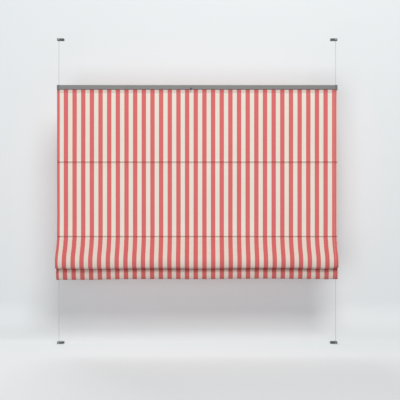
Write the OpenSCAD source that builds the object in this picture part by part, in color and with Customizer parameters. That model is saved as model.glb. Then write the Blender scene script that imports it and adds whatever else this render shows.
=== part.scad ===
// Roman blind held taut between two side cords, drawn half way up with its lower folds gathered.
// Millimetres. The origin lies between the two upper tension shoes, on the face that they are
// screwed to. Z is up and the room side faces -Y.

/* [Blind] */
// Width of the blind over its end caps
blind_w = 972; // [400:1:1500]
// Height from the upper seat to the lower seat
seat_h = 1058; // [950:1:1600]
// Drop from the upper seat to the top of the upper rail
rail_drop = 161.6; // [40:0.1:200]
// Visible cloth from the upper rail down to the first rod
first_panel_h = 252; // [150:1:260]
// Distance from the first rod to the second rod
rod_pitch = 258; // [150:1:265]

/* [Rails] */
// Height of the rail section
rail_h = 15.6; // [15:0.1:20]
// Depth of the rail section, front to back
rail_d = 18; // [17:0.5:24]
// Wall of the rail section
rail_wall = 1.2; // [0.8:0.1:1.6]
// Radius of the rail's long edges
rail_edge_r = 2; // [1.7:0.1:2.6]
// Height of the web that parts the cord chamber from the cloth channel
rail_web_z = 6; // [5.6:0.1:7]

/* [End caps] */
// Length of cap that shows past the rail
cap_len = 8; // [7:0.5:12]
// How far the cap stands proud of the rail's outline
cap_lip = 0.5; // [0.2:0.1:0.5]
// How far the cap's nose hangs under the rail
cap_nose = 2.5; // [1:0.1:5]
// Length of the tongue inside the rail
cap_tongue = 14; // [6:1:30]
// Radius of the cord eye through the cap
cap_eye_r = 1.4; // [1:0.1:1.8]

/* [Cloth] */
// Thickness of the woven cloth
cloth_t = 0.8; // [0.6:0.1:0.9]
// How far each side edge of the cloth stays inside the end caps
cloth_inset = 1.5; // [0:0.1:3]
// Height of the sewn hem under the rail
hem_h = 10; // [6:1:20]
// Extra thickness of the hem
hem_t = 0.5; // [0.2:0.1:0.8]
// Depth of the stitched groove at each rod
seam_dip = 0.6; // [0.2:0.1:0.7]
// Height of the stitched groove at each rod
seam_h = 7; // [5:0.5:10]
// Drop of the front fold below the second rod
front_fold_drop = 109.6; // [108:0.1:115]
// How far the front fold bulges into the room
front_fold_depth = 46; // [44:1:50]
// Drop of the rear fold below the second rod
rear_fold_drop = 145.7; // [144:0.1:160]
// How far the rear fold bulges into the room
rear_fold_depth = 23.6; // [22:0.1:25]

/* [Stripes] */
// Width of one red stripe
stripe_w = 15; // [5:1:25]
// Distance from one red stripe to the next
stripe_pitch = 30; // [30:1:60]
// Left edge of the cloth to the first whole red stripe
stripe_start = 22; // [0:0.1:30]
// How far the red warp stands proud of the ground weave
stripe_t = 0.12; // [0.05:0.01:0.15]

/* [Cloth strip] */
// Radius of the bead that holds the cloth in the rail
bead_r = 1.5; // [1:0.1:1.6]
// Thickness of the strip's flat tail
tail_t = 0.6; // [0.3:0.1:0.8]

/* [Rods] */
// Radius of the stiffening rods
rod_r = 2; // [1.5:0.1:2.1]
// Thickness of the sewn pocket round a rod
pocket_t = 0.8; // [0.5:0.1:0.9]
// Height of the rod guides
guide_h = 10; // [8:0.1:11]
// Wall of the guide round its cord and its rod
guide_wall = 0.8; // [0.5:0.1:1]
// Radius of the guide's cord eye
guide_eye_r = 1.1; // [0.8:0.1:1.6]
// Length of the guide's socket on the rod
guide_socket = 8; // [4:0.5:14]
// Outer tab of the guide, past its cord eye
guide_tab = 3; // [2.5:0.1:7]
// Height of the guide's outer tab
guide_tab_h = 4.6; // [2:0.1:7]

/* [Tension shoes] */
// Width of a shoe
shoe_w = 24; // [20:0.5:32]
// Depth of a shoe, front to back
shoe_d = 16; // [14:0.5:22]
// Height of a shoe
shoe_h = 7; // [6.8:0.1:9]
// Radius of a shoe's upright corners
shoe_corner_r = 2; // [0.5:0.5:3]
// Radius of the screw hole
screw_r = 1.7; // [1.2:0.1:2.2]
// Radius of the recess for the screw's head
screw_head_r = 3.4; // [2.6:0.1:3.8]
// Plate left under the screw's head
screw_floor = 2.5; // [1.5:0.1:4]
// Distance from the cord to the screw
screw_from_cord = 12; // [10.5:0.5:14]
// Radius of the barrel that anchors the cord
anchor_r = 2.6; // [2.4:0.1:2.7]
// Length of the barrel
anchor_len = 9; // [6:0.5:12]

/* [Cords] */
// Radius of a tension cord
cord_r = 0.6; // [0.4:0.1:0.8]
// Distance from the blind's side edge in to the cord
cord_inset = 5; // [4.4:0.1:6]
// Radius of the cord's bend inside a cap
cord_bend_r = 2.4; // [1.6:0.1:3]
// Radius of the knot at each end of a cord
knot_r = 1.2; // [1:0.1:1.3]

/* [Grip] */
// Radius of the grip's head
grip_r = 3.3; // [2:0.1:4.5]
// Length of the grip
grip_len = 9; // [5:0.5:16]
// Centre of the grip, left of the blind's middle
grip_offset = 21.5; // [0:0.5:200]
// Height of the grip's middle above the rail's lower edge
grip_z = 1.4; // [1.4:0.1:8]

/* [Hidden] */
$fn = 48;

// Facets round a cord and along each of its bends.
cord_sides = 8;
cord_bend_steps = 4;
// Every cut runs past its face by this much.
overrun = 1;
// Clearances: a fixed fit, a seated piece, a soft piece beside a hard one, and between stacked guides.
fit_gap = 0.1;
seat_gap = 0.2;
soft_gap = 0.3;
stack_gap = 0.3;
pocket_gap = 0.3;
// Free length at each end of a rod between its pocket and its guide.
pocket_setback = 2;

half_w = blind_w / 2;
cloth_half_w = half_w - cloth_inset;
cord_x = half_w - cord_inset;
rail_half_len = half_w - cap_len;

// The channel for the cloth strip lies close behind the rail's front wall.
bead_gap = 0.4;
channel_r = bead_r + bead_gap;
channel_wall = 1;
channel_y = -rail_d / 2 + channel_wall + channel_r;
channel_z = channel_wall + channel_r;
slot_w = tail_t + 2 * bead_gap;

// The cloth's middle plane. Depth is counted from it towards the room.
cloth_y = channel_y - tail_t / 2 - soft_gap - cloth_t / 2;

// Heights of the rails and rods. The gathered rods and the lower rail stand on each other.
top_rail_z = -rail_drop - rail_h;
rod_1_z = top_rail_z - first_panel_h;
rod_2_z = rod_1_z - rod_pitch;
rod_3_z = rod_2_z - guide_h - stack_gap;
bottom_rail_z = rod_3_z - guide_h / 2 - stack_gap - cap_lip - rail_h;
socket_r = rod_r + fit_gap / 2;
sleeve_r = socket_r + guide_wall;
rod_y = cloth_y + cloth_t / 2 + seam_dip + soft_gap + sleeve_r;
pocket_r = rod_r + pocket_gap + pocket_t;

// The front fold from the second rod's seam to its lowest line: shares of its depth and drop.
front_leg_shares = [
    [0.000, 0.031], [0.039, 0.067], [0.096, 0.103], [0.148, 0.138], [0.183, 0.174],
    [0.215, 0.214], [0.260, 0.254], [0.326, 0.302], [0.475, 0.391], [0.655, 0.479],
    [0.825, 0.566], [0.935, 0.655], [0.985, 0.720], [1.000, 0.790], [0.990, 0.835],
    [0.960, 0.874], [0.918, 0.914], [0.850, 0.952], [0.735, 0.984], [0.590, 1.000]
];
// From there up behind to the third rod.
front_return_shares = [
    [0.470, 0.986], [0.410, 0.948], [0.370, 0.879], [0.326, 0.773], [0.272, 0.650],
    [0.202, 0.483], [0.144, 0.316], [0.126, 0.185], [0.115, 0.154], [0.091, 0.128],
    [0.057, 0.109]
];
// The rear fold from the third rod over the lower rail's edge to its lowest line.
rear_leg_shares = [
    [0.042, 0.090], [0.097, 0.103], [0.136, 0.121], [0.144, 0.148], [0.153, 0.216],
    [0.243, 0.337], [0.350, 0.505], [0.491, 0.654], [0.660, 0.734], [0.810, 0.777],
    [0.935, 0.813], [1.000, 0.848], [0.980, 0.885], [0.910, 0.925], [0.800, 0.962],
    [0.670, 0.990], [0.540, 1.000]
];
// From there up behind to the lower rail's strip.
rear_return_shares = [
    [0.440, 0.985], [0.395, 0.955], [0.355, 0.903], [0.296, 0.795], [0.242, 0.640],
    [0.199, 0.472], [0.162, 0.360], [0.090, 0.318]
];
// The tight turn of the cloth under the third rod's seam.
turn_r = 0.85;
turn_forward = 0.5;
turn_drop = 0.9;
turn_steps = 4;

cream = "#e8e1d5";
red = "#dc7273";
rail_grey = "#8a8885";
dark_grey = "#3a3d40";
cap_grey = "#55585a";
cord_grey = "#b9bcbd";
rod_white = "#e6e4de";

function flip(p) = [for (i = [len(p) - 1 : -1 : 0]) p[i]];
function unit(v) = v / norm(v);
function left_of(v) = [-v[1], v[0]];

// A place on the cloth: depth towards the room and drop below the second rod, as [Y, Z].
function place(depth, drop) = [cloth_y - depth, rod_2_z - drop];
function fold(shares, depth, drop) = [for (s = shares) place(s[0] * depth, s[1] * drop)];

// Three points that dip back at a rod's seam.
function seam(z) = [
    [cloth_y, z + seam_h / 2], [cloth_y + seam_dip, z], [cloth_y, z - seam_h / 2]
];

function turn_points() =
    let (drop = rod_2_z - rod_3_z + turn_drop)
    [for (i = [0 : turn_steps])
        let (a = 45 - 180 * i / turn_steps)
        place(turn_forward + turn_r * sin(a), drop - turn_r * cos(a))];

// The cloth's middle line, in the order in which it hangs.
head = concat(
    [[cloth_y, top_rail_z - soft_gap]],
    seam(rod_1_z),
    [[cloth_y, rod_2_z + seam_h / 2], [cloth_y + seam_dip, rod_2_z]]
);
hem_bottom_z = head[0][1] - hem_h;
front_leg = fold(front_leg_shares, front_fold_depth, front_fold_drop);
front_return = fold(front_return_shares, front_fold_depth, front_fold_drop);
rear_leg = fold(rear_leg_shares, rear_fold_depth, rear_fold_drop);
rear_return = fold(rear_return_shares, rear_fold_depth, rear_fold_drop);
tail_end = [
    [cloth_y, bottom_rail_z - hem_h - soft_gap],
    [cloth_y, bottom_rail_z - soft_gap]
];
cloth_line = concat(
    head, front_leg, front_return, turn_points(), rear_leg, rear_return, tail_end
);

// The direction along a line at one of its points, and the line moved to its left by a distance.
// A sharp corner's mitre is limited by its share.
mitre_share = 0.6;
function along(p, i) =
    i == 0 ? unit(p[1] - p[0])
    : i == len(p) - 1 ? unit(p[i] - p[i - 1])
    : unit(unit(p[i] - p[i - 1]) + unit(p[i + 1] - p[i]));
function mitre(p, i) =
    i == 0 || i == len(p) - 1 ? 1 : 1 / max(mitre_share, along(p, i) * unit(p[i + 1] - p[i]));
function beside(p, distance) =
    [for (i = [0 : len(p) - 1]) p[i] + distance * mitre(p, i) * left_of(along(p, i))];
function ribbon(p, room_side, window_side) =
    concat(beside(p, -room_side), flip(beside(p, window_side)));

// Draws an outline given in [Y, Z] as a bar along X.
module along_x(from_x, length) {
    translate([from_x, 0, 0])
        rotate([90, 0, 90])
            linear_extrude(length)
                children();
}

module rounded_2d(low, size, r) {
    translate(low + [r, 0]) square([size[0] - 2 * r, size[1]]);
    translate(low + [0, r]) square([size[0], size[1] - 2 * r]);
    for (x = [r, size[0] - r], y = [r, size[1] - r])
        translate(low + [x, y]) circle(r);
}

// The rail's extruded section: a cord chamber above a web, and the channel for the cloth strip.
module rail_outline() {
    rounded_2d([-rail_d / 2, 0], [rail_d, rail_h], rail_edge_r);
}

chamber_w = rail_d - 2 * rail_wall;
chamber_z = rail_web_z + rail_wall / 2;
chamber_h = rail_h - rail_wall - chamber_z;
chamber_r = rail_edge_r - rail_wall;
side_chamber_y = channel_y + channel_r + channel_wall;
side_chamber_w = rail_d / 2 - rail_wall - side_chamber_y;
side_chamber_h = rail_web_z - rail_wall / 2 - rail_wall;

module rail_section() {
    difference() {
        rail_outline();
        rounded_2d([-chamber_w / 2, chamber_z], [chamber_w, chamber_h], chamber_r);
        rounded_2d([side_chamber_y, rail_wall], [side_chamber_w, side_chamber_h], chamber_r);
        translate([channel_y, channel_z]) circle(channel_r);
        translate([channel_y - slot_w / 2, -overrun]) square([slot_w, channel_z + overrun]);
    }
}

module rail(z) {
    color(rail_grey)
        translate([0, 0, z])
            along_x(-rail_half_len, 2 * rail_half_len)
                rail_section();
}

// Heights of the crossing cords inside a rail.
chamber_mid_z = chamber_z + chamber_h / 2;
cross_rise = cord_r + 3 * fit_gap;
cross_part = 2 * cord_r;
cap_slot_w = 2 * cap_eye_r;
cap_slot_h = 2 * (cross_rise + cord_r + soft_gap + seat_gap);

// An end cap at the right-hand end: its body, its tongue in the chamber and the way for the cords.
module right_cap(z) {
    color(cap_grey)
        translate([0, 0, z])
            difference() {
                union() {
                    along_x(rail_half_len, cap_len)
                        rounded_2d(
                            [-rail_d / 2 - cap_lip, -cap_nose],
                            [rail_d + 2 * cap_lip, rail_h + cap_lip + cap_nose],
                            rail_edge_r
                        );
                    along_x(rail_half_len - cap_tongue, cap_tongue + overrun)
                        rounded_2d(
                            [-chamber_w / 2 + fit_gap, chamber_z + fit_gap],
                            [chamber_w - 2 * fit_gap, chamber_h - 2 * fit_gap],
                            chamber_r
                        );
                }
                translate([cord_x, 0, -cap_nose - overrun])
                    cylinder(h = rail_h + cap_lip + cap_nose + 2 * overrun, r = cap_eye_r);
                translate([
                    rail_half_len - cap_tongue - overrun,
                    -cap_slot_w / 2,
                    chamber_mid_z - cap_slot_h / 2
                ])
                    cube([cord_x - rail_half_len + cap_tongue + overrun, cap_slot_w, cap_slot_h]);
                along_x(rail_half_len - cap_tongue - overrun, cap_tongue + overrun - cap_lip) {
                    for (side = [-1, 1])
                        translate([side * chamber_w / 4 - cap_slot_w / 2, chamber_z + rail_wall])
                            square([cap_slot_w, chamber_h - 2 * rail_wall]);
                }
            }
}

module left_cap(z) {
    mirror([1, 0, 0]) right_cap(z);
}

// The strip that is sewn to the cloth and slides into the rail's channel by its bead.
module cloth_strip(z) {
    color(rod_white)
        along_x(-rail_half_len + soft_gap, 2 * (rail_half_len - soft_gap)) {
            translate([channel_y, z + channel_z]) circle(bead_r);
            translate([channel_y - tail_t / 2, z - hem_h])
                square([tail_t, channel_z + hem_h]);
        }
}

// The sewn pocket behind the cloth that holds a rod.
module pocket_2d(z) {
    difference() {
        union() {
            translate([rod_y, z]) circle(pocket_r);
            translate([cloth_y + seam_dip, z - pocket_t])
                square([rod_y - cloth_y - seam_dip, 2 * pocket_t]);
        }
        translate([rod_y, z]) circle(rod_r + pocket_gap);
    }
}

pocket_half_w = cord_x - guide_socket - guide_wall - guide_eye_r - pocket_setback;

// Notches at the cloth's ends that leave room for the noses of the end caps.
module cap_notches() {
    front_y = cloth_y - cloth_t / 2 - hem_t - overrun;
    for (side = [-1, 1], z = [top_rail_z, bottom_rail_z])
        translate([
            side * (rail_half_len - soft_gap + (cap_len + overrun) / 2),
            front_y + (hem_t + cloth_t + 2 * overrun) / 2,
            z - (cap_nose + soft_gap) / 2
        ])
            cube([cap_len + overrun, hem_t + cloth_t + 2 * overrun, cap_nose + soft_gap], center = true);
}

// One length of cloth: flat panels, stitched seams, two gathered folds and three rod pockets.
module cloth() {
    color(cream) {
        difference() {
            along_x(-cloth_half_w, 2 * cloth_half_w) {
                polygon(ribbon(cloth_line, cloth_t / 2, cloth_t / 2));
                translate([cloth_y - cloth_t / 2 - hem_t, hem_bottom_z])
                    square([hem_t + cloth_t / 2, hem_h]);
            }
            cap_notches();
        }
        along_x(-pocket_half_w, 2 * pocket_half_w)
            for (z = [rod_1_z, rod_2_z, rod_3_z])
                pocket_2d(z);
    }
}

// The red warp bands: fields of colour on the room side of the cloth, where it can be seen.
first_seen_rear = 7;
seen_front_line = concat(
    [[cloth_y, hem_bottom_z]], [for (i = [1 : len(head) - 1]) head[i]], front_leg
);
seen_rear_line = concat(
    [for (i = [first_seen_rear : len(rear_leg) - 1]) rear_leg[i]],
    [rear_return[0], rear_return[1]]
);
stripe_count = floor((2 * cloth_half_w - stripe_start) / stripe_pitch);

module band_2d(line) {
    polygon(concat(
        beside(line, -cloth_t / 2 - stripe_t),
        flip(beside(line, -cloth_t / 2))
    ));
}

// The band over the hem, with its small step down to the cloth below.
module hem_band_2d() {
    front_y = cloth_y - cloth_t / 2 - hem_t - stripe_t;
    translate([front_y, hem_bottom_z - stripe_t]) square([stripe_t, hem_h + stripe_t]);
    translate([front_y, hem_bottom_z - stripe_t]) square([hem_t + stripe_t, stripe_t]);
}

module red_stripes() {
    color(red)
        difference() {
            for (i = [-1 : stripe_count]) {
                band_x = -cloth_half_w + stripe_start + i * stripe_pitch;
                from_x = max(-cloth_half_w, band_x);
                to_x = min(cloth_half_w, band_x + stripe_w);
                if (to_x > from_x)
                    along_x(from_x, to_x - from_x) {
                        band_2d(seen_front_line);
                        band_2d(seen_rear_line);
                        hem_band_2d();
                    }
            }
            cap_notches();
        }
}

guide_eye_outer = guide_eye_r + 3 * guide_wall;
// The tab's half width as a share of the eye's outer radius.
tab_share = 0.7;
rod_half_len = cord_x - guide_eye_outer - fit_gap;
socket_end = cord_x - guide_eye_outer;

module rod(z) {
    color(rod_white)
        translate([-rod_half_len, rod_y, z])
            rotate([0, 90, 0])
                cylinder(h = 2 * rod_half_len, r = rod_r);
}

// A moulded guide on the right-hand end of a rod, with an eye that runs on the tension cord.
module right_guide(z) {
    tab_r = tab_share * guide_eye_outer;
    color(dark_grey)
        translate([0, 0, z])
            difference() {
                union() {
                    translate([cord_x, 0, -guide_h / 2])
                        cylinder(h = guide_h, r = guide_eye_outer);
                    translate([cord_x, -tab_r, -guide_tab_h / 2])
                        cube([guide_tab, 2 * tab_r, guide_tab_h]);
                    translate([cord_x + guide_tab, 0, -guide_tab_h / 2])
                        cylinder(h = guide_tab_h, r = tab_r);
                    translate([socket_end - guide_socket, rod_y, 0])
                        rotate([0, 90, 0])
                            cylinder(h = guide_socket + guide_eye_outer, r = sleeve_r);
                }
                translate([cord_x, 0, -guide_h / 2 - overrun])
                    cylinder(h = guide_h + 2 * overrun, r = guide_eye_r);
                translate([socket_end - guide_socket - overrun, rod_y, 0])
                    rotate([0, 90, 0])
                        cylinder(h = guide_socket + overrun, r = socket_r);
            }
}

module left_guide(z) {
    mirror([1, 0, 0]) right_guide(z);
}

// A tension shoe at the upper right: screw hole with a recess, and a pocket for the anchor barrel.
shoe_outer_x = half_w;
anchor_z = -shoe_h / 2;
anchor_pocket_r = anchor_r + seat_gap;
anchor_back_y = -shoe_d / 2 + anchor_len + seat_gap;
screw_x = cord_x - screw_from_cord;

module upper_right_shoe() {
    color(dark_grey)
        difference() {
            translate([0, 0, -shoe_h])
                linear_extrude(shoe_h)
                    rounded_2d([shoe_outer_x - shoe_w, -shoe_d / 2], [shoe_w, shoe_d], shoe_corner_r);
            translate([screw_x, 0, -shoe_h - overrun])
                cylinder(h = shoe_h + 2 * overrun, r = screw_r);
            translate([screw_x, 0, -shoe_h - overrun])
                cylinder(h = shoe_h - screw_floor + overrun, r = screw_head_r);
            translate([cord_x, anchor_back_y, anchor_z])
                rotate([90, 0, 0])
                    cylinder(h = anchor_len + seat_gap + overrun, r = anchor_pocket_r);
            translate([
                cord_x - cord_r - soft_gap, -shoe_d / 2 - overrun, -shoe_h - overrun
            ])
                cube([
                    2 * (cord_r + soft_gap),
                    shoe_d / 2 + cord_r + soft_gap + overrun,
                    shoe_h / 2 + overrun
                ]);
        }
}

// The barrel that the knotted cord pulls into its shoe.
module upper_right_anchor() {
    color(cord_grey)
        difference() {
            translate([cord_x, -shoe_d / 2 + anchor_len, anchor_z])
                rotate([90, 0, 0])
                    cylinder(h = anchor_len, r = anchor_r);
            translate([cord_x, 0, anchor_z - anchor_r - overrun])
                cylinder(h = anchor_r + overrun, r = cord_r + fit_gap);
            translate([cord_x, 0, anchor_z - knot_r / 2])
                cylinder(h = anchor_r + knot_r + overrun, r = knot_r + fit_gap);
        }
}

module left_side() {
    mirror([1, 0, 0]) children();
}

module lower_end() {
    translate([0, 0, -seat_h]) mirror([0, 0, 1]) children();
}

// A knot's rings as shares of its radius: place along the cord, and how much of the bulge.
knot_shares = [[1, 0], [0.5, 1], [0, 1], [-0.5, 0]];
knot_top_z = anchor_z;
knot_bottom_z = -seat_h - anchor_z;

function quarter(x, z, side_in, up_in) =
    [for (i = [0 : cord_bend_steps])
        let (a = 90 * i / cord_bend_steps)
        [x + side_in * cord_bend_r * (1 - cos(a)), 0, z + up_in * cord_bend_r * (1 - sin(a))]];
// The cord comes down at one side, crosses the rail and leaves downward at the other side.
function crossing(rail_z, from_side, y_side) =
    let (z = rail_z + chamber_mid_z)
    concat(
        quarter(from_side * cord_x, z + cross_rise, -from_side, 1),
        [[0, y_side * cross_part, z]],
        flip(quarter(-from_side * cord_x, z - cross_rise, from_side, -1))
    );
function cord_route(from_side, y_side) = concat(
    [for (k = knot_shares) [from_side * cord_x, 0, knot_top_z + k[0] * knot_r]],
    crossing(top_rail_z, from_side, y_side),
    crossing(bottom_rail_z, -from_side, y_side),
    flip([for (k = knot_shares) [from_side * cord_x, 0, knot_bottom_z - k[0] * knot_r]])
);

// Rings round a route, in the plane that holds Y and the normal of the route.
function ring(p, dir, r) =
    let (n = unit(cross(dir, [0, 1, 0])), m = unit(cross(n, dir)))
    [for (k = [0 : cord_sides - 1])
        let (a = 360 * (k + 0.5) / cord_sides)
        p + r * (cos(a) * n + sin(a) * m)];
function heading(p, i) =
    i == 0 ? unit(p[1] - p[0])
    : i == len(p) - 1 ? unit(p[i] - p[i - 1])
    : unit(unit(p[i] - p[i - 1]) + unit(p[i + 1] - p[i]));

module tube(route, radii) {
    last = len(route) - 1;
    points = [for (i = [0 : last]) each ring(route[i], heading(route, i), radii[i])];
    walls = [for (i = [0 : last - 1], k = [0 : cord_sides - 1])
        let (a = i * cord_sides + k, b = i * cord_sides + (k + 1) % cord_sides)
        [a, b, b + cord_sides, a + cord_sides]];
    start_cap = [flip([for (k = [0 : cord_sides - 1]) k])];
    end_cap = [[for (k = [0 : cord_sides - 1]) last * cord_sides + k]];
    polyhedron(points, concat(walls, start_cap, end_cap));
}

// A tension cord: from its upper shoe down into the upper rail, across inside the rail, down to
// the lower rail, across again and down to its lower shoe. The depth side keeps the two cords apart.
module tension_cord(from_side, y_side) {
    route = cord_route(from_side, y_side);
    last = len(route) - 1;
    knot_radii = [for (k = knot_shares) cord_r + k[1] * (knot_r - cord_r)];
    plain_radii = [for (i = [1 : last + 1 - 2 * len(knot_shares)]) cord_r];
    radii = concat(knot_radii, plain_radii, flip(knot_radii));
    color(cord_grey) tube(route, radii);
}

// The turned grip on the upper rail's front wall.
grip_shares = [
    [0, 0], [0.9, 0], [0.9, 0.12], [0.6, 0.22], [0.6, 0.5], [1, 0.7], [1, 0.86],
    [0.85, 0.96], [0.55, 1], [0, 1]
];

module grip() {
    color(dark_grey)
        translate([-grip_offset, -rail_d / 2, top_rail_z + grip_z])
            rotate([90, 0, 0])
                rotate_extrude()
                    polygon([for (s = grip_shares) [s[0] * grip_r, s[1] * grip_len]]);
}

module shoe_top_left() { left_side() upper_right_shoe(); }
module shoe_top_right() { upper_right_shoe(); }
module shoe_bottom_left() { lower_end() left_side() upper_right_shoe(); }
module shoe_bottom_right() { lower_end() upper_right_shoe(); }
module anchor_top_left() { left_side() upper_right_anchor(); }
module anchor_top_right() { upper_right_anchor(); }
module anchor_bottom_left() { lower_end() left_side() upper_right_anchor(); }
module anchor_bottom_right() { lower_end() upper_right_anchor(); }
module tension_cord_left() { tension_cord(-1, -1); }
module tension_cord_right() { tension_cord(1, 1); }
module top_rail() { rail(top_rail_z); }
module top_cap_left() { left_cap(top_rail_z); }
module top_cap_right() { right_cap(top_rail_z); }
module top_cloth_strip() { cloth_strip(top_rail_z); }
module rod_1() { rod(rod_1_z); }
module rod_1_guide_left() { left_guide(rod_1_z); }
module rod_1_guide_right() { right_guide(rod_1_z); }
module rod_2() { rod(rod_2_z); }
module rod_2_guide_left() { left_guide(rod_2_z); }
module rod_2_guide_right() { right_guide(rod_2_z); }
module rod_3() { rod(rod_3_z); }
module rod_3_guide_left() { left_guide(rod_3_z); }
module rod_3_guide_right() { right_guide(rod_3_z); }
module bottom_rail() { rail(bottom_rail_z); }
module bottom_cap_left() { left_cap(bottom_rail_z); }
module bottom_cap_right() { right_cap(bottom_rail_z); }
module bottom_cloth_strip() { cloth_strip(bottom_rail_z); }

shoe_top_left();
shoe_top_right();
shoe_bottom_left();
shoe_bottom_right();
anchor_top_left();
anchor_top_right();
anchor_bottom_left();
anchor_bottom_right();
tension_cord_left();
tension_cord_right();
top_rail();
top_cap_left();
top_cap_right();
top_cloth_strip();
grip();
cloth();
red_stripes();
rod_1();
rod_1_guide_left();
rod_1_guide_right();
rod_2();
rod_2_guide_left();
rod_2_guide_right();
rod_3();
rod_3_guide_left();
rod_3_guide_right();
bottom_rail();
bottom_cap_left();
bottom_cap_right();
bottom_cloth_strip();
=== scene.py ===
import logging
import math
from dataclasses import dataclass
from enum import Enum
from typing import Callable, Sequence

import bpy
import numpy as np
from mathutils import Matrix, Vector


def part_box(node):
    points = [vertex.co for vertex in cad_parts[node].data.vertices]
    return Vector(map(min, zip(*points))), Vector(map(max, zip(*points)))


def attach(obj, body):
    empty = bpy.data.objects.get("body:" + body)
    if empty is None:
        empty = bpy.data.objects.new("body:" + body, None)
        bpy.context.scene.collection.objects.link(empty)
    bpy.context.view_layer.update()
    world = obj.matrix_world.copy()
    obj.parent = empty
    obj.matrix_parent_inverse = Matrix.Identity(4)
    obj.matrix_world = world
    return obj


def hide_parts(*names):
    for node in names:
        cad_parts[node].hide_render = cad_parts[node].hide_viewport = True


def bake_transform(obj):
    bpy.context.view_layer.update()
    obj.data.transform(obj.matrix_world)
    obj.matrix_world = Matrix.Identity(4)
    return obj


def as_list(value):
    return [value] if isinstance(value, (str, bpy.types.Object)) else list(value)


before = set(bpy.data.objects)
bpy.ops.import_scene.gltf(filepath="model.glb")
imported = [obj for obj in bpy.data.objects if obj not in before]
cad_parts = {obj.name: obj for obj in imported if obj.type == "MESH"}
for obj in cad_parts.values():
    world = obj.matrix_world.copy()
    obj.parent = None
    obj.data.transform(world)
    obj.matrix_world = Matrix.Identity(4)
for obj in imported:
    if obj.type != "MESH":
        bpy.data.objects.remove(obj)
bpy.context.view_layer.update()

# The roman blind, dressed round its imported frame. Metres; the room side faces -Y and Z is up.

LOG = logging.getLogger("roman_blind")
MM = 0.001
CUT_MAP = "cut"
STITCH_PITCH = 3.2 * MM

Profile = np.ndarray
Point = tuple[float, float, float]
Colour = tuple[float, float, float]
Turns = Sequence[tuple[float, float]]
Waves = Sequence[tuple[float, float, float]]


class Body(str, Enum):
    """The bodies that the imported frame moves."""

    FRAME = "frame"
    TOP_RAIL = "top_rail"
    ROD_3 = "rod_3"
    BOTTOM_RAIL = "bottom_rail"


class Held(str, Enum):
    """How a length of cloth is held."""

    HUNG = "hung"
    GATHERED = "gathered"


def middle(node: str) -> Vector:
    """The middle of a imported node's box.

    Args:
        node: The node's name.

    Returns:
        The box's centre in metres.
    """
    low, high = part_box(node)
    return (low + high) / 2


def smooth_step(t: np.ndarray) -> np.ndarray:
    """A smooth 0 to 1 ramp of t, which is clipped to that range."""
    t = np.clip(t, 0.0, 1.0)
    return t * t * (3.0 - 2.0 * t)


def hump(s: np.ndarray, start: float, rise: float, end: float, fall: float) -> np.ndarray:
    """A smooth hump along a length.

    Args:
        s: The lengths.
        start: Where the hump starts.
        rise: The length over which it rises.
        end: Where it ends.
        fall: The length over which it falls.

    Returns:
        0 outside the hump and 1 in the middle of it.
    """
    return smooth_step((s - start) / rise) * smooth_step((end - s) / fall)


def ripple(x: np.ndarray, waves: Waves) -> np.ndarray:
    """A sum of sine waves.

    Args:
        x: Places along the blind.
        waves: Height, radians a metre and phase of each wave.

    Returns:
        The sum at each place.
    """
    return sum(height * np.sin(x * rate + phase) for height, rate, phase in waves)


def run_length(points: np.ndarray) -> np.ndarray:
    """The length along a line of points, at each point."""
    return np.concatenate([[0.0], np.cumsum(np.linalg.norm(np.diff(points, axis=0), axis=1))])


def spline(
    points: Sequence[Sequence[float]], spacing: float, samples: int = 4000,
) -> tuple[Profile, np.ndarray]:
    """A natural cubic spline through points, cut into even steps.

    Args:
        points: Points of any dimension, in order.
        spacing: The step along the curve, in metres.
        samples: How many places its length is measured at.

    Returns:
        The points on the curve, and the curve's length at each given point.
    """
    p = np.array(points, float)
    t = run_length(p)
    n, h = len(p), np.diff(t)
    a, b = np.eye(n), np.zeros_like(p)
    for i in range(1, n - 1):
        a[i, i - 1 : i + 2] = h[i - 1], 2.0 * (h[i - 1] + h[i]), h[i]
        b[i] = 6.0 * ((p[i + 1] - p[i]) / h[i] - (p[i] - p[i - 1]) / h[i - 1])
    m = np.linalg.solve(a, b)

    def at(u: np.ndarray) -> np.ndarray:
        """The points on the curve at u, the way along the straight lines between the given points."""
        k = np.clip(np.searchsorted(t, u, side="right") - 1, 0, n - 2)
        left, right, width = (u - t[k])[:, None], (t[k + 1] - u)[:, None], h[k][:, None]
        bend = m[k] * right**3 + m[k + 1] * left**3
        from_left = (p[k] / width - m[k] * width / 6.0) * right
        from_right = (p[k + 1] / width - m[k + 1] * width / 6.0) * left
        return bend / (6.0 * width) + (from_left + from_right)

    fine = np.linspace(0.0, t[-1], samples)
    length = run_length(at(fine))
    steps = max(2, int(round(length[-1] / spacing)))
    even = np.interp(np.linspace(0.0, length[-1], steps + 1), length, fine)
    return at(even), np.interp(t, fine, length)


# ---------------------------------------------------------------- node trees


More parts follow.
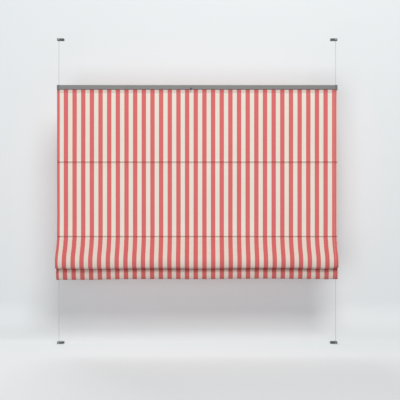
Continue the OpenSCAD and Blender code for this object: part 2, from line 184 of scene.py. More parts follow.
class Graph:
    """Short calls that add and join the nodes of one node tree."""

    def __init__(self, tree: bpy.types.NodeTree) -> None:
        """Keeps the tree and empties it.

        Args:
            tree: The node tree to fill.
        """
        self.tree = tree
        tree.nodes.clear()

    def add(self, kind: str, inputs: dict[str, object] | None = None, **settings: object) -> bpy.types.Node:
        """Adds a node.

        Args:
            kind: The node's type without its ShaderNode prefix.
            inputs: Socket name to a value or to a socket to join.
            **settings: Attributes of the node.

        Returns:
            The new node.
        """
        node = self.tree.nodes.new("ShaderNode" + kind)
        for name, value in settings.items():
            setattr(node, name, value)
        for name, value in (inputs or {}).items():
            self.feed(node.inputs[name], value)
        return node

    def feed(self, socket: bpy.types.NodeSocket, value: object) -> None:
        """Joins a socket to another one, or sets its value."""
        if isinstance(value, bpy.types.NodeSocket):
            self.tree.links.new(value, socket)
        else:
            socket.default_value = value

    def math(self, operation: str, a: object, b: object = 0.0, c: object = 0.0) -> bpy.types.NodeSocket:
        """A Math node's result.

        Args:
            operation: The node's operation.
            a: First number or socket.
            b: Second number or socket.
            c: Third number or socket.

        Returns:
            The result's socket.
        """
        node = self.tree.nodes.new("ShaderNodeMath")
        node.operation = operation
        for socket, value in zip(node.inputs, (a, b, c)):
            self.feed(socket, value)
        return node.outputs[0]

    def ramp(
        self, value: object, low: float, high: float, to_low: float = 0.0, to_high: float = 1.0,
    ) -> bpy.types.NodeSocket:
        """A smooth ramp of a value between two limits.

        Args:
            value: Number or socket.
            low: Where the ramp starts.
            high: Where it ends.
            to_low: Its result at the start.
            to_high: Its result at the end.

        Returns:
            The result's socket.
        """
        node = self.tree.nodes.new("ShaderNodeMapRange")
        node.interpolation_type = "SMOOTHSTEP"
        names = ("Value", "From Min", "From Max", "To Min", "To Max")
        for name, x in zip(names, (value, low, high, to_low, to_high)):
            self.feed(node.inputs[name], x)
        return node.outputs["Result"]

    def noise(self, vector: object, scale: Sequence[float], detail: float = 2.0) -> bpy.types.NodeSocket:
        """Noise with its own scale on each axis.

        Args:
            vector: The coordinate's socket, in metres.
            scale: Cells a metre along each axis.
            detail: The noise's detail.

        Returns:
            The noise's value, about 0.5 on average.
        """
        stretched = self.add("VectorMath", operation="MULTIPLY")
        self.feed(stretched.inputs[0], vector)
        stretched.inputs[1].default_value = scale
        node = self.add("TexNoise", {"Vector": stretched.outputs[0], "Scale": 1.0, "Detail": detail})
        return node.outputs["Fac"]

    def blend(self, factor: object, a: object, b: object, mode: str = "MIX") -> bpy.types.NodeSocket:
        """Mixes two colours.

        Args:
            factor: Number or socket.
            a: First colour or socket.
            b: Second colour or socket.
            mode: The blend mode.

        Returns:
            The mixed colour's socket.
        """
        node = self.tree.nodes.new("ShaderNodeMix")
        node.data_type, node.blend_type = "RGBA", mode
        for socket, value in zip((node.inputs[0], node.inputs[6], node.inputs[7]), (factor, a, b)):
            if isinstance(value, tuple) and len(value) == 3:
                value = (*value, 1.0)
            self.feed(socket, value)
        return node.outputs[2]

    def grey(self, value: object) -> bpy.types.NodeSocket:
        """A grey colour of a value, for a multiply blend."""
        node = self.add("CombineColor")
        for socket in node.inputs:
            self.feed(socket, value)
        return node.outputs[0]

    def bump(self, height: object, distance: float, strength: float = 1.0) -> bpy.types.NodeSocket:
        """A bumped normal.

        Args:
            height: The height's socket.
            distance: The depth of a height of 1, in metres.
            strength: The bump's strength.

        Returns:
            The normal's socket.
        """
        node = self.add("Bump", {"Height": height, "Distance": distance, "Strength": strength})
        return node.outputs[0]


class Effect:
    """A shader node group that several finishes share."""

    def __init__(self, name: str, inputs: dict[str, str], outputs: dict[str, str]) -> None:
        """Makes the group and its sockets.

        Args:
            name: The group's name.
            inputs: Input names and their socket types.
            outputs: Output names and their socket types.
        """
        self.group = bpy.data.node_groups.new(name, "ShaderNodeTree")
        self.graph = Graph(self.group)
        for sockets, way in ((inputs, "INPUT"), (outputs, "OUTPUT")):
            for label, kind in sockets.items():
                self.group.interface.new_socket(name=label, in_out=way, socket_type="NodeSocket" + kind)
        self.given = self.group.nodes.new("NodeGroupInput").outputs
        self.result = self.group.nodes.new("NodeGroupOutput").inputs

    def put(self, graph: Graph, inputs: dict[str, object]) -> bpy.types.NodeOutputs:
        """Places the group in a material.

        Args:
            graph: The material's graph.
            inputs: Input names with values or sockets.

        Returns:
            The placed group's outputs.
        """
        node = graph.tree.nodes.new("ShaderNodeGroup")
        node.node_tree = self.group
        for name, value in inputs.items():
            graph.feed(node.inputs[name], value)
        return node.outputs


class Effects:
    """The shared effects, each built once."""

    def __init__(self) -> None:
        """Builds every group."""
        self.weave = self._weave()
        self.grain = self._grain()
        self.drawn = self._drawn()
        self.stitch = self._stitch()

    @staticmethod
    def _weave() -> Effect:
        """A plain weave: thread heights, which thread lies on top, and uneven yarn.

        Returns:
            The effect.
        """
        made = Effect("plain_weave", {"Cut": "Vector", "Yarn": "Float"},
                      {"Height": "Float", "Weft": "Float", "Yarn Tone": "Float", "Cloud": "Float"})
        g, cut = made.graph, made.given["Cut"]
        parts = g.add("SeparateXYZ", {"Vector": cut})
        across = g.math("DIVIDE", parts.outputs[0], made.given["Yarn"])
        down = g.math("DIVIDE", parts.outputs[1], made.given["Yarn"])
        cells = g.math("ADD", g.math("FLOOR", across), g.math("FLOOR", down))
        on_top = g.math("PINGPONG", cells, 1.0)
        warp = g.math("SINE", g.math("MULTIPLY", g.math("FRACT", across), math.pi))
        weft = g.math("SINE", g.math("MULTIPLY", g.math("FRACT", down), math.pi))
        both = g.math("MULTIPLY", warp, weft)
        over = g.math("MULTIPLY_ADD", on_top, 0.35, 0.65)
        g.feed(made.result["Height"], g.math("MULTIPLY", both, over))
        g.feed(made.result["Weft"], on_top)
        warp_tone = g.noise(cut, (1700.0, 22.0, 1.0), 3.0)
        weft_tone = g.noise(cut, (14.0, 1500.0, 1.0), 3.0)
        yarn_tone = g.math("ADD", g.math("MULTIPLY", warp_tone, 0.6), g.math("MULTIPLY", weft_tone, 0.4))
        g.feed(made.result["Yarn Tone"], yarn_tone)
        g.feed(made.result["Cloud"], g.noise(cut, (7.0, 5.0, 1.0), 3.0))
        return made

    @staticmethod
    def _grain() -> Effect:
        """The fine even grain and faint handling marks of a moulded surface.

        Returns:
            The effect.
        """
        made = Effect("moulded_grain", {"Place": "Vector", "Cells": "Float"},
                      {"Height": "Float", "Marks": "Float"})
        g, place = made.graph, made.given["Place"]
        fine = g.add("TexNoise", {"Vector": place, "Scale": made.given["Cells"], "Detail": 2.0})
        g.feed(made.result["Height"], fine.outputs["Fac"])
        marks = g.noise(place, (180.0, 240.0, 200.0), 5.0)
        g.feed(made.result["Marks"], g.ramp(marks, 0.45, 0.72))
        return made

    @staticmethod
    def _drawn() -> Effect:
        """The fine lines that drawing leaves along a bar in X.

        Returns:
            The effect.
        """
        made = Effect("drawn_lines", {"Place": "Vector"},
                      {"Height": "Float", "Sheen": "Float", "Marks": "Float"})
        g, place = made.graph, made.given["Place"]
        g.feed(made.result["Height"], g.noise(place, (9.0, 2600.0, 2600.0), 3.0))
        g.feed(made.result["Sheen"], g.noise(place, (3.0, 700.0, 700.0), 2.0))
        g.feed(made.result["Marks"], g.ramp(g.noise(place, (35.0, 220.0, 220.0), 4.0), 0.52, 0.75))
        return made

    @staticmethod
    def _stitch() -> Effect:
        """A row of stitches: where the thread shows, and how far it pulls the cloth in.

        Returns:
            The effect.
        """
        made = Effect("stitch_row", {"Off": "Float", "Along": "Float", "Pitch": "Float"},
                      {"Thread": "Float", "Pull": "Float"})
        g = made.graph
        away = g.math("ABSOLUTE", made.given["Off"])
        step = g.math("FRACT", g.math("DIVIDE", made.given["Along"], made.given["Pitch"]))
        shown = g.ramp(g.math("ABSOLUTE", g.math("SUBTRACT", step, 0.5)), 0.34, 0.42, 1.0, 0.0)
        line = g.ramp(away, 0.25 * MM, 0.45 * MM, 1.0, 0.0)
        g.feed(made.result["Thread"], g.math("MULTIPLY", shown, line))
        g.feed(made.result["Pull"], g.ramp(away, 0.0, 1.8 * MM, 1.0, 0.0))
        return made


# ---------------------------------------------------------------- finishes


@dataclass(frozen=True)
class PlasticFinish:
    """A moulded plastic.

    Attributes:
        name: The material's name.
        colour: Linear base colour.
        roughness: Mean roughness.
        cells: Grain cells a metre.
        depth: Depth of the grain in metres.
    """

    name: str
    colour: Colour
    roughness: float = 0.5
    cells: float = 4200.0
    depth: float = 0.00003

    def make(self, effects: Effects) -> bpy.types.Material:
        """Builds the material.

        Args:
            effects: The shared effects.

        Returns:
            The material.
        """
        material, g = new_material(self.name)
        place = g.add("TexCoord").outputs["Object"]
        grain = effects.grain.put(g, {"Place": place, "Cells": self.cells})
        tone = g.grey(g.math("MULTIPLY_ADD", grain["Marks"], 0.10, 0.96))
        surface = g.add("BsdfPrincipled", {
            "Base Color": g.blend(1.0, self.colour, tone, "MULTIPLY"),
            "Roughness": g.math("MULTIPLY_ADD", grain["Marks"], 0.14, self.roughness),
            "Normal": g.bump(grain["Height"], self.depth, 0.6),
            "IOR": 1.49,
        })
        g.add("OutputMaterial", {"Surface": surface.outputs[0]})
        return material


@dataclass(frozen=True)
class MetalFinish:
    """A drawn or turned metal.

    Attributes:
        name: The material's name.
        colour: Linear base colour.
        roughness: Mean roughness.
        metallic: How metallic it is.
        depth: Depth of its lines in metres.
    """

    name: str
    colour: Colour
    roughness: float = 0.4
    metallic: float = 1.0
    depth: float = 0.00002

    def make(self, effects: Effects) -> bpy.types.Material:
        """Builds the material.

        Args:
            effects: The shared effects.

        Returns:
            The material.
        """
        material, g = new_material(self.name)
        place = g.add("TexCoord").outputs["Object"]
        lines = effects.drawn.put(g, {"Place": place})
        tone = g.grey(g.math("MULTIPLY_ADD", lines["Sheen"], 0.16, 0.92))
        rough = g.math("MULTIPLY_ADD", lines["Sheen"], 0.12, self.roughness - 0.06)
        surface = g.add("BsdfPrincipled", {
            "Base Color": g.blend(1.0, self.colour, tone, "MULTIPLY"),
            "Metallic": self.metallic,
            "Roughness": g.math("MULTIPLY_ADD", lines["Marks"], 0.08, rough),
            "Normal": g.bump(lines["Height"], self.depth, 0.5),
        })
        g.add("OutputMaterial", {"Surface": surface.outputs[0]})
        return material


@dataclass(frozen=True)
class CordFinish:
    """A braided cord.

    Attributes:
        name: The material's name.
        colour: Linear colour of the yarn.
        lay: Length of one turn of the braid in metres.
        strands: Strands that turn each way.
        depth: Depth of the braid in metres.
    """

    name: str
    colour: Colour
    lay: float = 3.0 * MM
    strands: float = 4.0
    depth: float = 0.00012

    def make(self, effects: Effects) -> bpy.types.Material:
        """Builds the material.

        Args:
            effects: The shared effects; not used.

        Returns:
            The material.
        """
        material, g = new_material(self.name)
        parts = g.add("SeparateXYZ", {"Vector": g.add("UVMap", uv_map=CUT_MAP).outputs[0]})
        turn = g.math("MULTIPLY", parts.outputs[0], self.strands)
        climb = g.math("MULTIPLY", g.math("DIVIDE", parts.outputs[1], self.lay), self.strands)
        one, two = (g.math("PINGPONG", g.math(way, turn, climb), 1.0) for way in ("ADD", "SUBTRACT"))
        braid = g.math("MAXIMUM", one, two)
        # Painted shade: the tone follows the braid's relief, darker in the hollows between strands.
        tone = g.grey(g.math("MULTIPLY_ADD", braid, 0.35, 0.75))
        surface = g.add("BsdfPrincipled", {
            "Base Color": g.blend(1.0, self.colour, tone, "MULTIPLY"),
            "Roughness": 0.7,
            "Normal": g.bump(braid, self.depth, 0.8),
        })
        g.add("OutputMaterial", {"Surface": surface.outputs[0]})
        return material


@dataclass(frozen=True)
class ThreadFinish:
    """Twisted cotton sewing thread.

    Attributes:
        name: The material's name.
        colour: Linear colour of the thread.
        twist: Length of one turn of its twist in metres.
        cells: Grain cells a metre.
        depth: Depth of the twist in metres.
    """

    name: str
    colour: Colour
    twist: float = 0.5 * MM
    cells: float = 5200.0
    depth: float = 0.00005

    def make(self, effects: Effects) -> bpy.types.Material:
        """Builds the material.

        Args:
            effects: The shared effects.

        Returns:
            The material.
        """
        material, g = new_material(self.name)
        place = g.add("TexCoord").outputs["Object"]
        parts = g.add("SeparateXYZ", {"Vector": place})
        slant = g.math("ADD", parts.outputs[0], parts.outputs[2])
        turn = g.math("PINGPONG", g.math("DIVIDE", slant, self.twist / 2.0), 1.0)
        grain = effects.grain.put(g, {"Place": place, "Cells": self.cells})
        fuzz = g.math("MULTIPLY_ADD", grain["Height"], 0.10, 0.76)
        # Painted shade darker in the grooves of the twist, with random fuzz in the tone.
        tone = g.grey(g.math("MULTIPLY_ADD", turn, 0.22, fuzz))
        surface = g.add("BsdfPrincipled", {
            "Base Color": g.blend(1.0, self.colour, tone, "MULTIPLY"),
            "Roughness": g.math("MULTIPLY_ADD", grain["Height"], 0.15, 0.62),
            "Normal": g.bump(turn, self.depth, 0.7),
        })
        g.add("OutputMaterial", {"Surface": surface.outputs[0]})
        return material


@dataclass(frozen=True)
class TickingFinish:
    """Striped cotton cloth, drawn in the cloth's own cut: X across it and the length down it.

    Attributes:
        name: The material's name.
        red: Linear colour of the red stripe.
        cream: Linear colour of the ground.
        thread: Linear colour of the sewing thread.
        stripe_pitch: Distance between red stripes in metres.
        first_stripe: X of the left edge of a red stripe in metres.
        yarn: Distance between threads in metres.
        seams: Lengths down the cut at which rods are sewn in, in metres.
        hem: Length down the cut at which the head hem ends, in metres.
        hem_row: Length down the cut of the head hem's stitches, in metres.
        side_row: Distance of the side hems' stitches from the middle, in metres.
        stitch_pitch: Length of a stitch in metres.
        crease: Length down the cut at which the front fold presses on the rear one, in metres.
        painted_fold_shade: Painted shade on the folds, as if no light shone through them: what they keep of
            each colour.
        painted_hem_shade: Painted shade on the head hem, as if less light shone through its double layer:
            what it keeps of each colour.
        gathered: Painted shade along the seams: what they keep of each colour.
        painted_crease_shade: Painted shade along the crease: what it keeps of each colour.
        stripe_edge: Where a stripe starts and ends to fade, in pitches from its middle.
        edge_waver: How far its edge wavers, in pitches.
        outer_gap: How far left of the first stripe the outermost one ends, which is a little wider.
        outer_fade: The length over which its extra width fades, in metres.
        outer_wider: Its extra width at each edge, in pitches.
        top_shade: Painted shade just under the top rail: what is kept of the tone there.
        top_fade: Lengths down the cut between which that shade fades.
        folds_from: Lengths past the last seam between which the folds' painted shade sets in.
        seam_over: Lengths past a seam between which its painted shade sets in.
        seam_under: Lengths past a seam between which its painted shade fades.
        crease_fade: Distances from the crease between which its painted shade fades.
        yarn_height: Height of the yarn in the relief, as a share of its depth.
        stitch_pull: How deep a stitch pulls the cloth in, as such a share.
        stitch_height: How high its thread stands, as such a share.
        relief: Depth of the relief in metres.
    """

    name: str
    red: Colour
    cream: Colour
    thread: Colour
    stripe_pitch: float
    first_stripe: float
    yarn: float
    seams: tuple[float, ...]
    hem: float
    hem_row: float
    side_row: float
    crease: float
    stitch_pitch: float = STITCH_PITCH
    painted_fold_shade: Colour = (0.905, 0.85, 0.845)
    painted_hem_shade: Colour = (0.85, 0.79, 0.80)
    gathered: Colour = (0.66, 0.53, 0.50)
    painted_crease_shade: Colour = (0.74, 0.54, 0.51)
    stripe_edge: tuple[float, float] = (0.247, 0.261)
    edge_waver: float = 0.010
    outer_gap: float = 9.5 * MM
    outer_fade: float = 4.0 * MM
    outer_wider: float = 0.055
    top_shade: float = 0.62
    top_fade: tuple[float, float] = (0.8 * MM, 3.0 * MM)
    folds_from: tuple[float, float] = (1.0 * MM, 9.0 * MM)
    seam_over: tuple[float, float] = (-3.6 * MM, -0.4 * MM)
    seam_under: tuple[float, float] = (0.8 * MM, 5.0 * MM)
    crease_fade: tuple[float, float] = (2.5 * MM, 6.5 * MM)
    yarn_height: float = 0.12
    stitch_pull: float = 0.35
    stitch_height: float = 0.5
    relief: float = 0.6 * MM

    def make(self, effects: Effects) -> bpy.types.Material:
        """Builds the material.

        Args:
            effects: The shared effects.

        Returns:
            The material.
        """
        material, g = new_material(self.name)
        cut = g.add("UVMap", uv_map=CUT_MAP).outputs[0]
        parts = g.add("SeparateXYZ", {"Vector": cut})
        across, down = parts.outputs[0], parts.outputs[1]
        weave = effects.weave.put(g, {"Cut": cut, "Yarn": self.yarn})

        shifted = g.math("SUBTRACT", across, self.first_stripe + self.stripe_pitch / 4.0)
        place = g.math("PINGPONG", g.math("DIVIDE", shifted, self.stripe_pitch), 0.5)
        waver = g.noise(cut, (60.0, 420.0, 1.0), 2.0)
        uneven = g.math("MULTIPLY_ADD", waver, self.edge_waver, -self.edge_waver / 2.0)
        outermost = self.first_stripe - self.outer_gap
        wider = g.ramp(across, outermost, outermost + self.outer_fade, -self.outer_wider, 0.0)
        edge = g.math("ADD", g.math("ADD", place, uneven), wider)
        red_part = g.ramp(edge, *self.stripe_edge, 1.0, 0.0)
        colour = g.blend(red_part, self.cream, self.red)

        weft_part = g.math("MULTIPLY", weave["Weft"], g.math("MULTIPLY_ADD", red_part, 0.05, 0.02))
        colour = g.blend(weft_part, colour, self.cream)
        tone = g.math("MULTIPLY_ADD", weave["Yarn Tone"], 0.20, 0.90)
        tone = g.math("MULTIPLY", tone, g.math("MULTIPLY_ADD", weave["Cloud"], 0.05, 0.975))
        # Painted shade: darker in the hollows between the threads, lighter on their crowns.
        tone = g.math("MULTIPLY", tone, g.math("MULTIPLY_ADD", weave["Height"], 0.10, 0.94))

        height = g.math("MULTIPLY", weave["Height"], self.yarn_height)
        for row_down in (self.hem_row, *self.seams):
            off = g.math("SUBTRACT", down, row_down)
            row = effects.stitch.put(g, {"Off": off, "Along": across, "Pitch": self.stitch_pitch})
            height = g.math("SUBTRACT", height, g.math("MULTIPLY", row["Pull"], self.stitch_pull))
        # Painted shade: the cloth darker just under the top rail, where the rail shades it.
        tone = g.math("MULTIPLY", tone, g.ramp(down, *self.top_fade, self.top_shade, 1.0))
        off = g.math("SUBTRACT", g.math("ABSOLUTE", across), self.side_row)
        side = effects.stitch.put(g, {"Off": off, "Along": down, "Pitch": self.stitch_pitch})
        height = g.math("SUBTRACT", height, g.math("MULTIPLY", side["Pull"], self.stitch_pull))
        thread = side["Thread"]
        height = g.math("ADD", height, g.math("MULTIPLY", thread, self.stitch_height))

        colour = g.blend(1.0, colour, g.grey(tone), "MULTIPLY")
        # Painted shade on the folds, as if no light shone through them from behind.
        in_folds = g.ramp(down, *(self.seams[-1] + reach for reach in self.folds_from))
        colour = g.blend(in_folds, colour, self.painted_fold_shade, "MULTIPLY")
        # Painted shade on the head hem, as if less light shone through its double layer of cloth.
        in_hem = g.ramp(down, self.hem - 0.3 * MM, self.hem + 0.3 * MM, 1.0, 0.0)
        colour = g.blend(in_hem, colour, self.painted_hem_shade, "MULTIPLY")
        # Painted shade along each seam, where the groove's shadow falls.
        for seam in self.seams:
            past = g.math("SUBTRACT", down, seam)
            over, under = g.ramp(past, *self.seam_over), g.ramp(past, *self.seam_under, 1.0, 0.0)
            colour = g.blend(g.math("MINIMUM", over, under), colour, self.gathered, "MULTIPLY")
        # Painted shade along the crease, where the front fold shades the rear one.
        away = g.math("ABSOLUTE", g.math("SUBTRACT", down, self.crease))
        colour = g.blend(g.ramp(away, *self.crease_fade, 1.0, 0.0), colour, self.painted_crease_shade, "MULTIPLY")
        colour = g.blend(g.math("MULTIPLY", thread, 0.8), colour, self.thread)
        surface = g.add("BsdfPrincipled", {
            "Base Color": colour,
            "Roughness": g.math("MULTIPLY_ADD", weave["Yarn Tone"], 0.12, 0.80),
            "Specular IOR Level": 0.2,
            "Sheen Weight": 0.04,
            "Sheen Roughness": 0.5,
            "Normal": g.bump(height, self.relief, 0.7),
        })
        g.add("OutputMaterial", {"Surface": surface.outputs[0]})
        return material


def new_material(name: str) -> tuple[bpy.types.Material, Graph]:
    """An empty node material.

    Args:
        name: The material's name.

    Returns:
        The material and its graph.
    """
    material = bpy.data.materials.new(name)
    material.use_nodes = True
    return material, Graph(material.node_tree)


def dress(piece: bpy.types.Object, material: bpy.types.Material) -> None:
    """Gives a piece one material."""
    if piece.data.materials:
        for i in range(len(piece.data.materials)):
            piece.data.materials[i] = material
    else:
        piece.data.materials.append(material)


# ---------------------------------------------------------------- meshes


def mesh_piece(
    name: str,
    points: np.ndarray,
    faces: Sequence[Sequence[int]],
    cut: np.ndarray | None = None,
    sharp: Callable[[int, int], bool] | None = None,
) -> bpy.types.Object:
    """A mesh object with smooth faces.

    Args:
        name: The piece's name.
        points: Its points, n by 3.
        faces: Its faces.
        cut: The place of each face corner in the flat cut, corners by 2.
        sharp: Whether the edge between two points is sharp.

    Returns:
        The object.
    """
    mesh = bpy.data.meshes.new(name)
    mesh.from_pydata(points.tolist(), [], [list(f) for f in faces])
    mesh.polygons.foreach_set("use_smooth", np.ones(len(mesh.polygons), bool))
    if cut is not None:
        layer = mesh.uv_layers.new(name=CUT_MAP)
        layer.data.foreach_set("uv", np.asarray(cut, np.float32).ravel())
    if sharp is not None:
        marks = mesh.attributes.new("sharp_edge", "BOOLEAN", "EDGE")
        ends = np.zeros(len(mesh.edges) * 2, np.int32)
        mesh.edges.foreach_get("vertices", ends)
        marks.data.foreach_set("value", [sharp(int(a), int(b)) for a, b in ends.reshape(-1, 2)])
    mesh.validate()
    piece = bpy.data.objects.new(name, mesh)
    bpy.context.scene.collection.objects.link(piece)
    return piece


def ring_quads(rings: int, around: int, back: bool = False) -> list[tuple[int, ...]]:
    """The faces between rings of points.

    Args:
        rings: How many rings there are.
        around: Points in each ring.
        back: Whether the faces turn the other way.

    Returns:
        The faces, ring by ring.
    """
    i, k = np.meshgrid(np.arange(rings - 1), np.arange(around), indexing="ij")
    j = (k + 1) % around
    corners = [i * around + k, i * around + j, (i + 1) * around + j, (i + 1) * around + k]
    if back:
        corners = [corners[0], corners[3], corners[2], corners[1]]
    return [tuple(quad) for quad in np.stack(corners, axis=2).reshape(-1, 4).tolist()]


def corner_cut(across: np.ndarray, down: np.ndarray, faces: Sequence[Sequence[int]]) -> np.ndarray:
    """The place of each face corner in the flat cut.

    Args:
        across: Each point's place across the cut, ring by ring.
        down: Each point's place down the cut, in the same order.
        faces: The faces.

    Returns:
        The places, corners by 2.
    """
    places = np.stack(np.broadcast_arrays(across, down), axis=2).reshape(-1, 2)
    return places[[v for face in faces for v in face]]


def swept_tube(name: str, path: np.ndarray, radii: np.ndarray, sides: int) -> bpy.types.Object:
    """A closed tube round a path.

    Args:
        name: The piece's name.
        path: Points along the middle, n by 3.
        radii: The radius at each point.
        sides: Facets round the tube.

    Returns:
        The object, with turns round it and length along it as its cut.
    """
    heading = np.gradient(path, axis=0)
    heading /= np.linalg.norm(heading, axis=1)[:, None]
    level = np.cross(heading, (0.0, 1.0, 0.0))
    level /= np.linalg.norm(level, axis=1)[:, None]
    upright = np.cross(level, heading)
    turn = np.linspace(0.0, 2.0 * math.pi, sides, endpoint=False)
    rings = path[:, None] + radii[:, None, None] * (
        np.cos(turn)[None, :, None] * level[:, None] + np.sin(turn)[None, :, None] * upright[:, None]
    )
    n, along = len(path), run_length(path)
    faces, cut = ring_quads(n, sides), []
    for i in range(n - 1):
        for k in range(sides):
            a, b = k / sides, (k + 1) / sides
            cut += [(a, along[i]), (b, along[i]), (b, along[i + 1]), (a, along[i + 1])]
    for ring, start in ((range(sides - 1, -1, -1), 0), (range(sides), (n - 1) * sides)):
        faces.append([start + k for k in ring])
        cut += [(k / sides, along[0 if start == 0 else -1]) for k in ring]
    return mesh_piece(name, rings.reshape(-1, 3), faces, np.array(cut))


# ---------------------------------------------------------------- the cloth


@dataclass(frozen=True)
class ClothSizes:
    """Sizes of the cloth, in metres.

    Attributes:
        half_width: Half of its width.
        thickness: Thickness of the woven cloth.
        hem: Height of the head hem.
        hem_thickness: How far the head hem stands out to the room.
        side_hem: Width of a side hem.
        side_hem_thickness: How far a side hem stands out at the back.
        stitch_inset: Distance of a hem's stitches from its sewn edge.
        plane_y: The plane in which the flat cloth hangs.
        rail_gap: Gap between a rail and the cloth's edge.
        front_depth: How far the front fold bulges into the room.
        front_drop: Drop of the front fold below the second rod.
        rear_depth: How far the rear fold bulges into the room.
        rear_drop: Drop of the rear fold below the second rod.
        left_reach: How much further the left edge reaches out.
        left_start: Where that starts, in from the left edge.
        left_ramp: The length over which it sets in.
        column: Distance between the mesh's columns.
        row: Distance between its rows in the folds.
        panel_row: Distance between its rows above the folds.
        edge_round: How far each edge of the sheet is rounded out.
        groove: Depth of the groove at a seam.
        groove_reach: Half of the groove's height.
        shoulder: How far the cloth puffs out over and under a seam.
        shoulder_off: Distance of the puffed places from the seam.
        shoulder_reach: Half of their height.
        hollow: Depth of the soft waves in the flat cloth.
        middle_share: Share of the front drop at which its upper and lower lengths meet.
        back_rise: Height of the join behind the front fold over its lowest line.
        turn_fall: Drop of the join under the third rod.
        rear_rise: Height of the join behind the rear fold over its lowest line.
        tail_fall: Drop under the lower rail at which the cloth wholly follows that rail.
        tail_share: Place of the join behind the rear fold in the blend to the lower rail, from 0 to 1. The
            blend's smooth step is there the third rod's share of that rail's way.
    """

    half_width: float = 484.5 * MM
    thickness: float = 0.7 * MM
    hem: float = 11.6 * MM
    hem_thickness: float = 0.5 * MM
    side_hem: float = 12.0 * MM
    side_hem_thickness: float = 0.5 * MM
    stitch_inset: float = 1.6 * MM
    plane_y: float = -7.1 * MM
    rail_gap: float = 0.3 * MM
    front_depth: float = 46.0 * MM
    front_drop: float = 109.6 * MM
    rear_depth: float = 23.6 * MM
    rear_drop: float = 145.7 * MM
    left_reach: float = 1.2 * MM
    left_start: float = 18.0 * MM
    left_ramp: float = 16.0 * MM
    column: float = 4.0 * MM
    row: float = 2.5 * MM
    panel_row: float = 4.5 * MM
    edge_round: float = 0.5 * MM
    groove: float = 1.7 * MM
    groove_reach: float = 1.15 * MM
    shoulder: float = 0.45 * MM
    shoulder_off: float = 4.2 * MM
    shoulder_reach: float = 2.6 * MM
    hollow: float = 0.9 * MM
    middle_share: float = 0.52
    back_rise: float = 14.0 * MM
    turn_fall: float = 6.0 * MM
    rear_rise: float = 4.0 * MM
    tail_fall: float = 17.0 * MM
    tail_share: float = 0.3416


# The folds' side view: shares of a fold's depth and of its drop, down its room side and up behind it.
FRONT_LEG_SHARES = [
    (0.000, 0.031), (0.039, 0.067), (0.096, 0.103), (0.148, 0.138), (0.183, 0.174),
    (0.215, 0.214), (0.260, 0.254), (0.326, 0.302), (0.475, 0.391), (0.655, 0.479),
    (0.825, 0.566), (0.935, 0.655), (0.985, 0.720), (1.000, 0.790), (0.994, 0.838),
    (0.977, 0.882), (0.949, 0.926), (0.898, 0.964), (0.790, 0.992), (0.600, 1.000),
]
FRONT_RETURN_SHARES = [
    (0.470, 0.986), (0.410, 0.948), (0.370, 0.879), (0.326, 0.773), (0.272, 0.650),
    (0.202, 0.483), (0.144, 0.316), (0.126, 0.185), (0.115, 0.154), (0.091, 0.128),
    (0.057, 0.109),
]
REAR_LEG_SHARES = [
    (0.042, 0.090), (0.097, 0.103), (0.136, 0.121), (0.144, 0.148), (0.153, 0.216),
    (0.243, 0.337), (0.350, 0.505), (0.491, 0.654), (0.660, 0.734), (0.810, 0.777),
    (0.935, 0.813), (1.000, 0.848), (0.980, 0.885), (0.910, 0.925), (0.800, 0.962),
    (0.670, 0.990), (0.540, 1.000),
]
REAR_RETURN_SHARES = [
    (0.450, 0.993), (0.385, 0.975), (0.340, 0.943), (0.305, 0.890), (0.275, 0.795), (0.242, 0.640),
    (0.199, 0.472), (0.162, 0.360), (0.090, 0.318), (0.018, 0.290), (0.000, 0.270),
]

# How far the folds' lowest lines rise along the blind: X in metres, rise in millimetres.
FRONT_LOW_WAVE = [
    (-0.485, 0.6), (-0.420, 0.5), (-0.375, -0.6), (-0.330, -0.2), (-0.280, 0.5), (-0.200, 1.8),
    (-0.110, 1.9), (-0.055, 1.5), (-0.010, 0.5), (0.030, 0.6), (0.090, 1.8), (0.150, 2.2), (0.240, 3.0),
    (0.330, 2.9), (0.385, 1.4), (0.438, 0.4), (0.462, 1.3), (0.485, 4.3),
]
REAR_LOW_WAVE = [
    (-0.485, -3.0), (-0.360, -2.9), (-0.305, -1.5), (-0.245, -0.3), (-0.100, 0.0), (-0.030, -0.8),
    (0.040, -0.6), (0.130, 0.6), (0.270, 1.1), (0.340, 0.5), (0.400, 0.0), (0.445, -0.8), (0.485, -0.2),
]

# How the folds swell along the blind: millimetres, radians a metre and phase of each wave.
FRONT_SWELL = [(1.2, 7.1, 1.1), (0.8, 16.7, 0.3), (0.4, 41.0, 0.0)]
REAR_SWELL = [(0.8, 8.3, 0.4), (0.5, 21.0, 2.2)]


def along_wave(x: np.ndarray, wave: Turns) -> np.ndarray:
    """The height of a wave given by its turns.

    Args:
        x: Places along the blind.
        wave: X and height of each turn.

    Returns:
        The heights, with level turns.
    """
    at, height = np.array(wave).T
    k = np.clip(np.searchsorted(at, x, side="right") - 1, 0, len(at) - 2)
    t = smooth_step((x - at[k]) / (at[k + 1] - at[k]))
    return height[k] + t * (height[k + 1] - height[k])


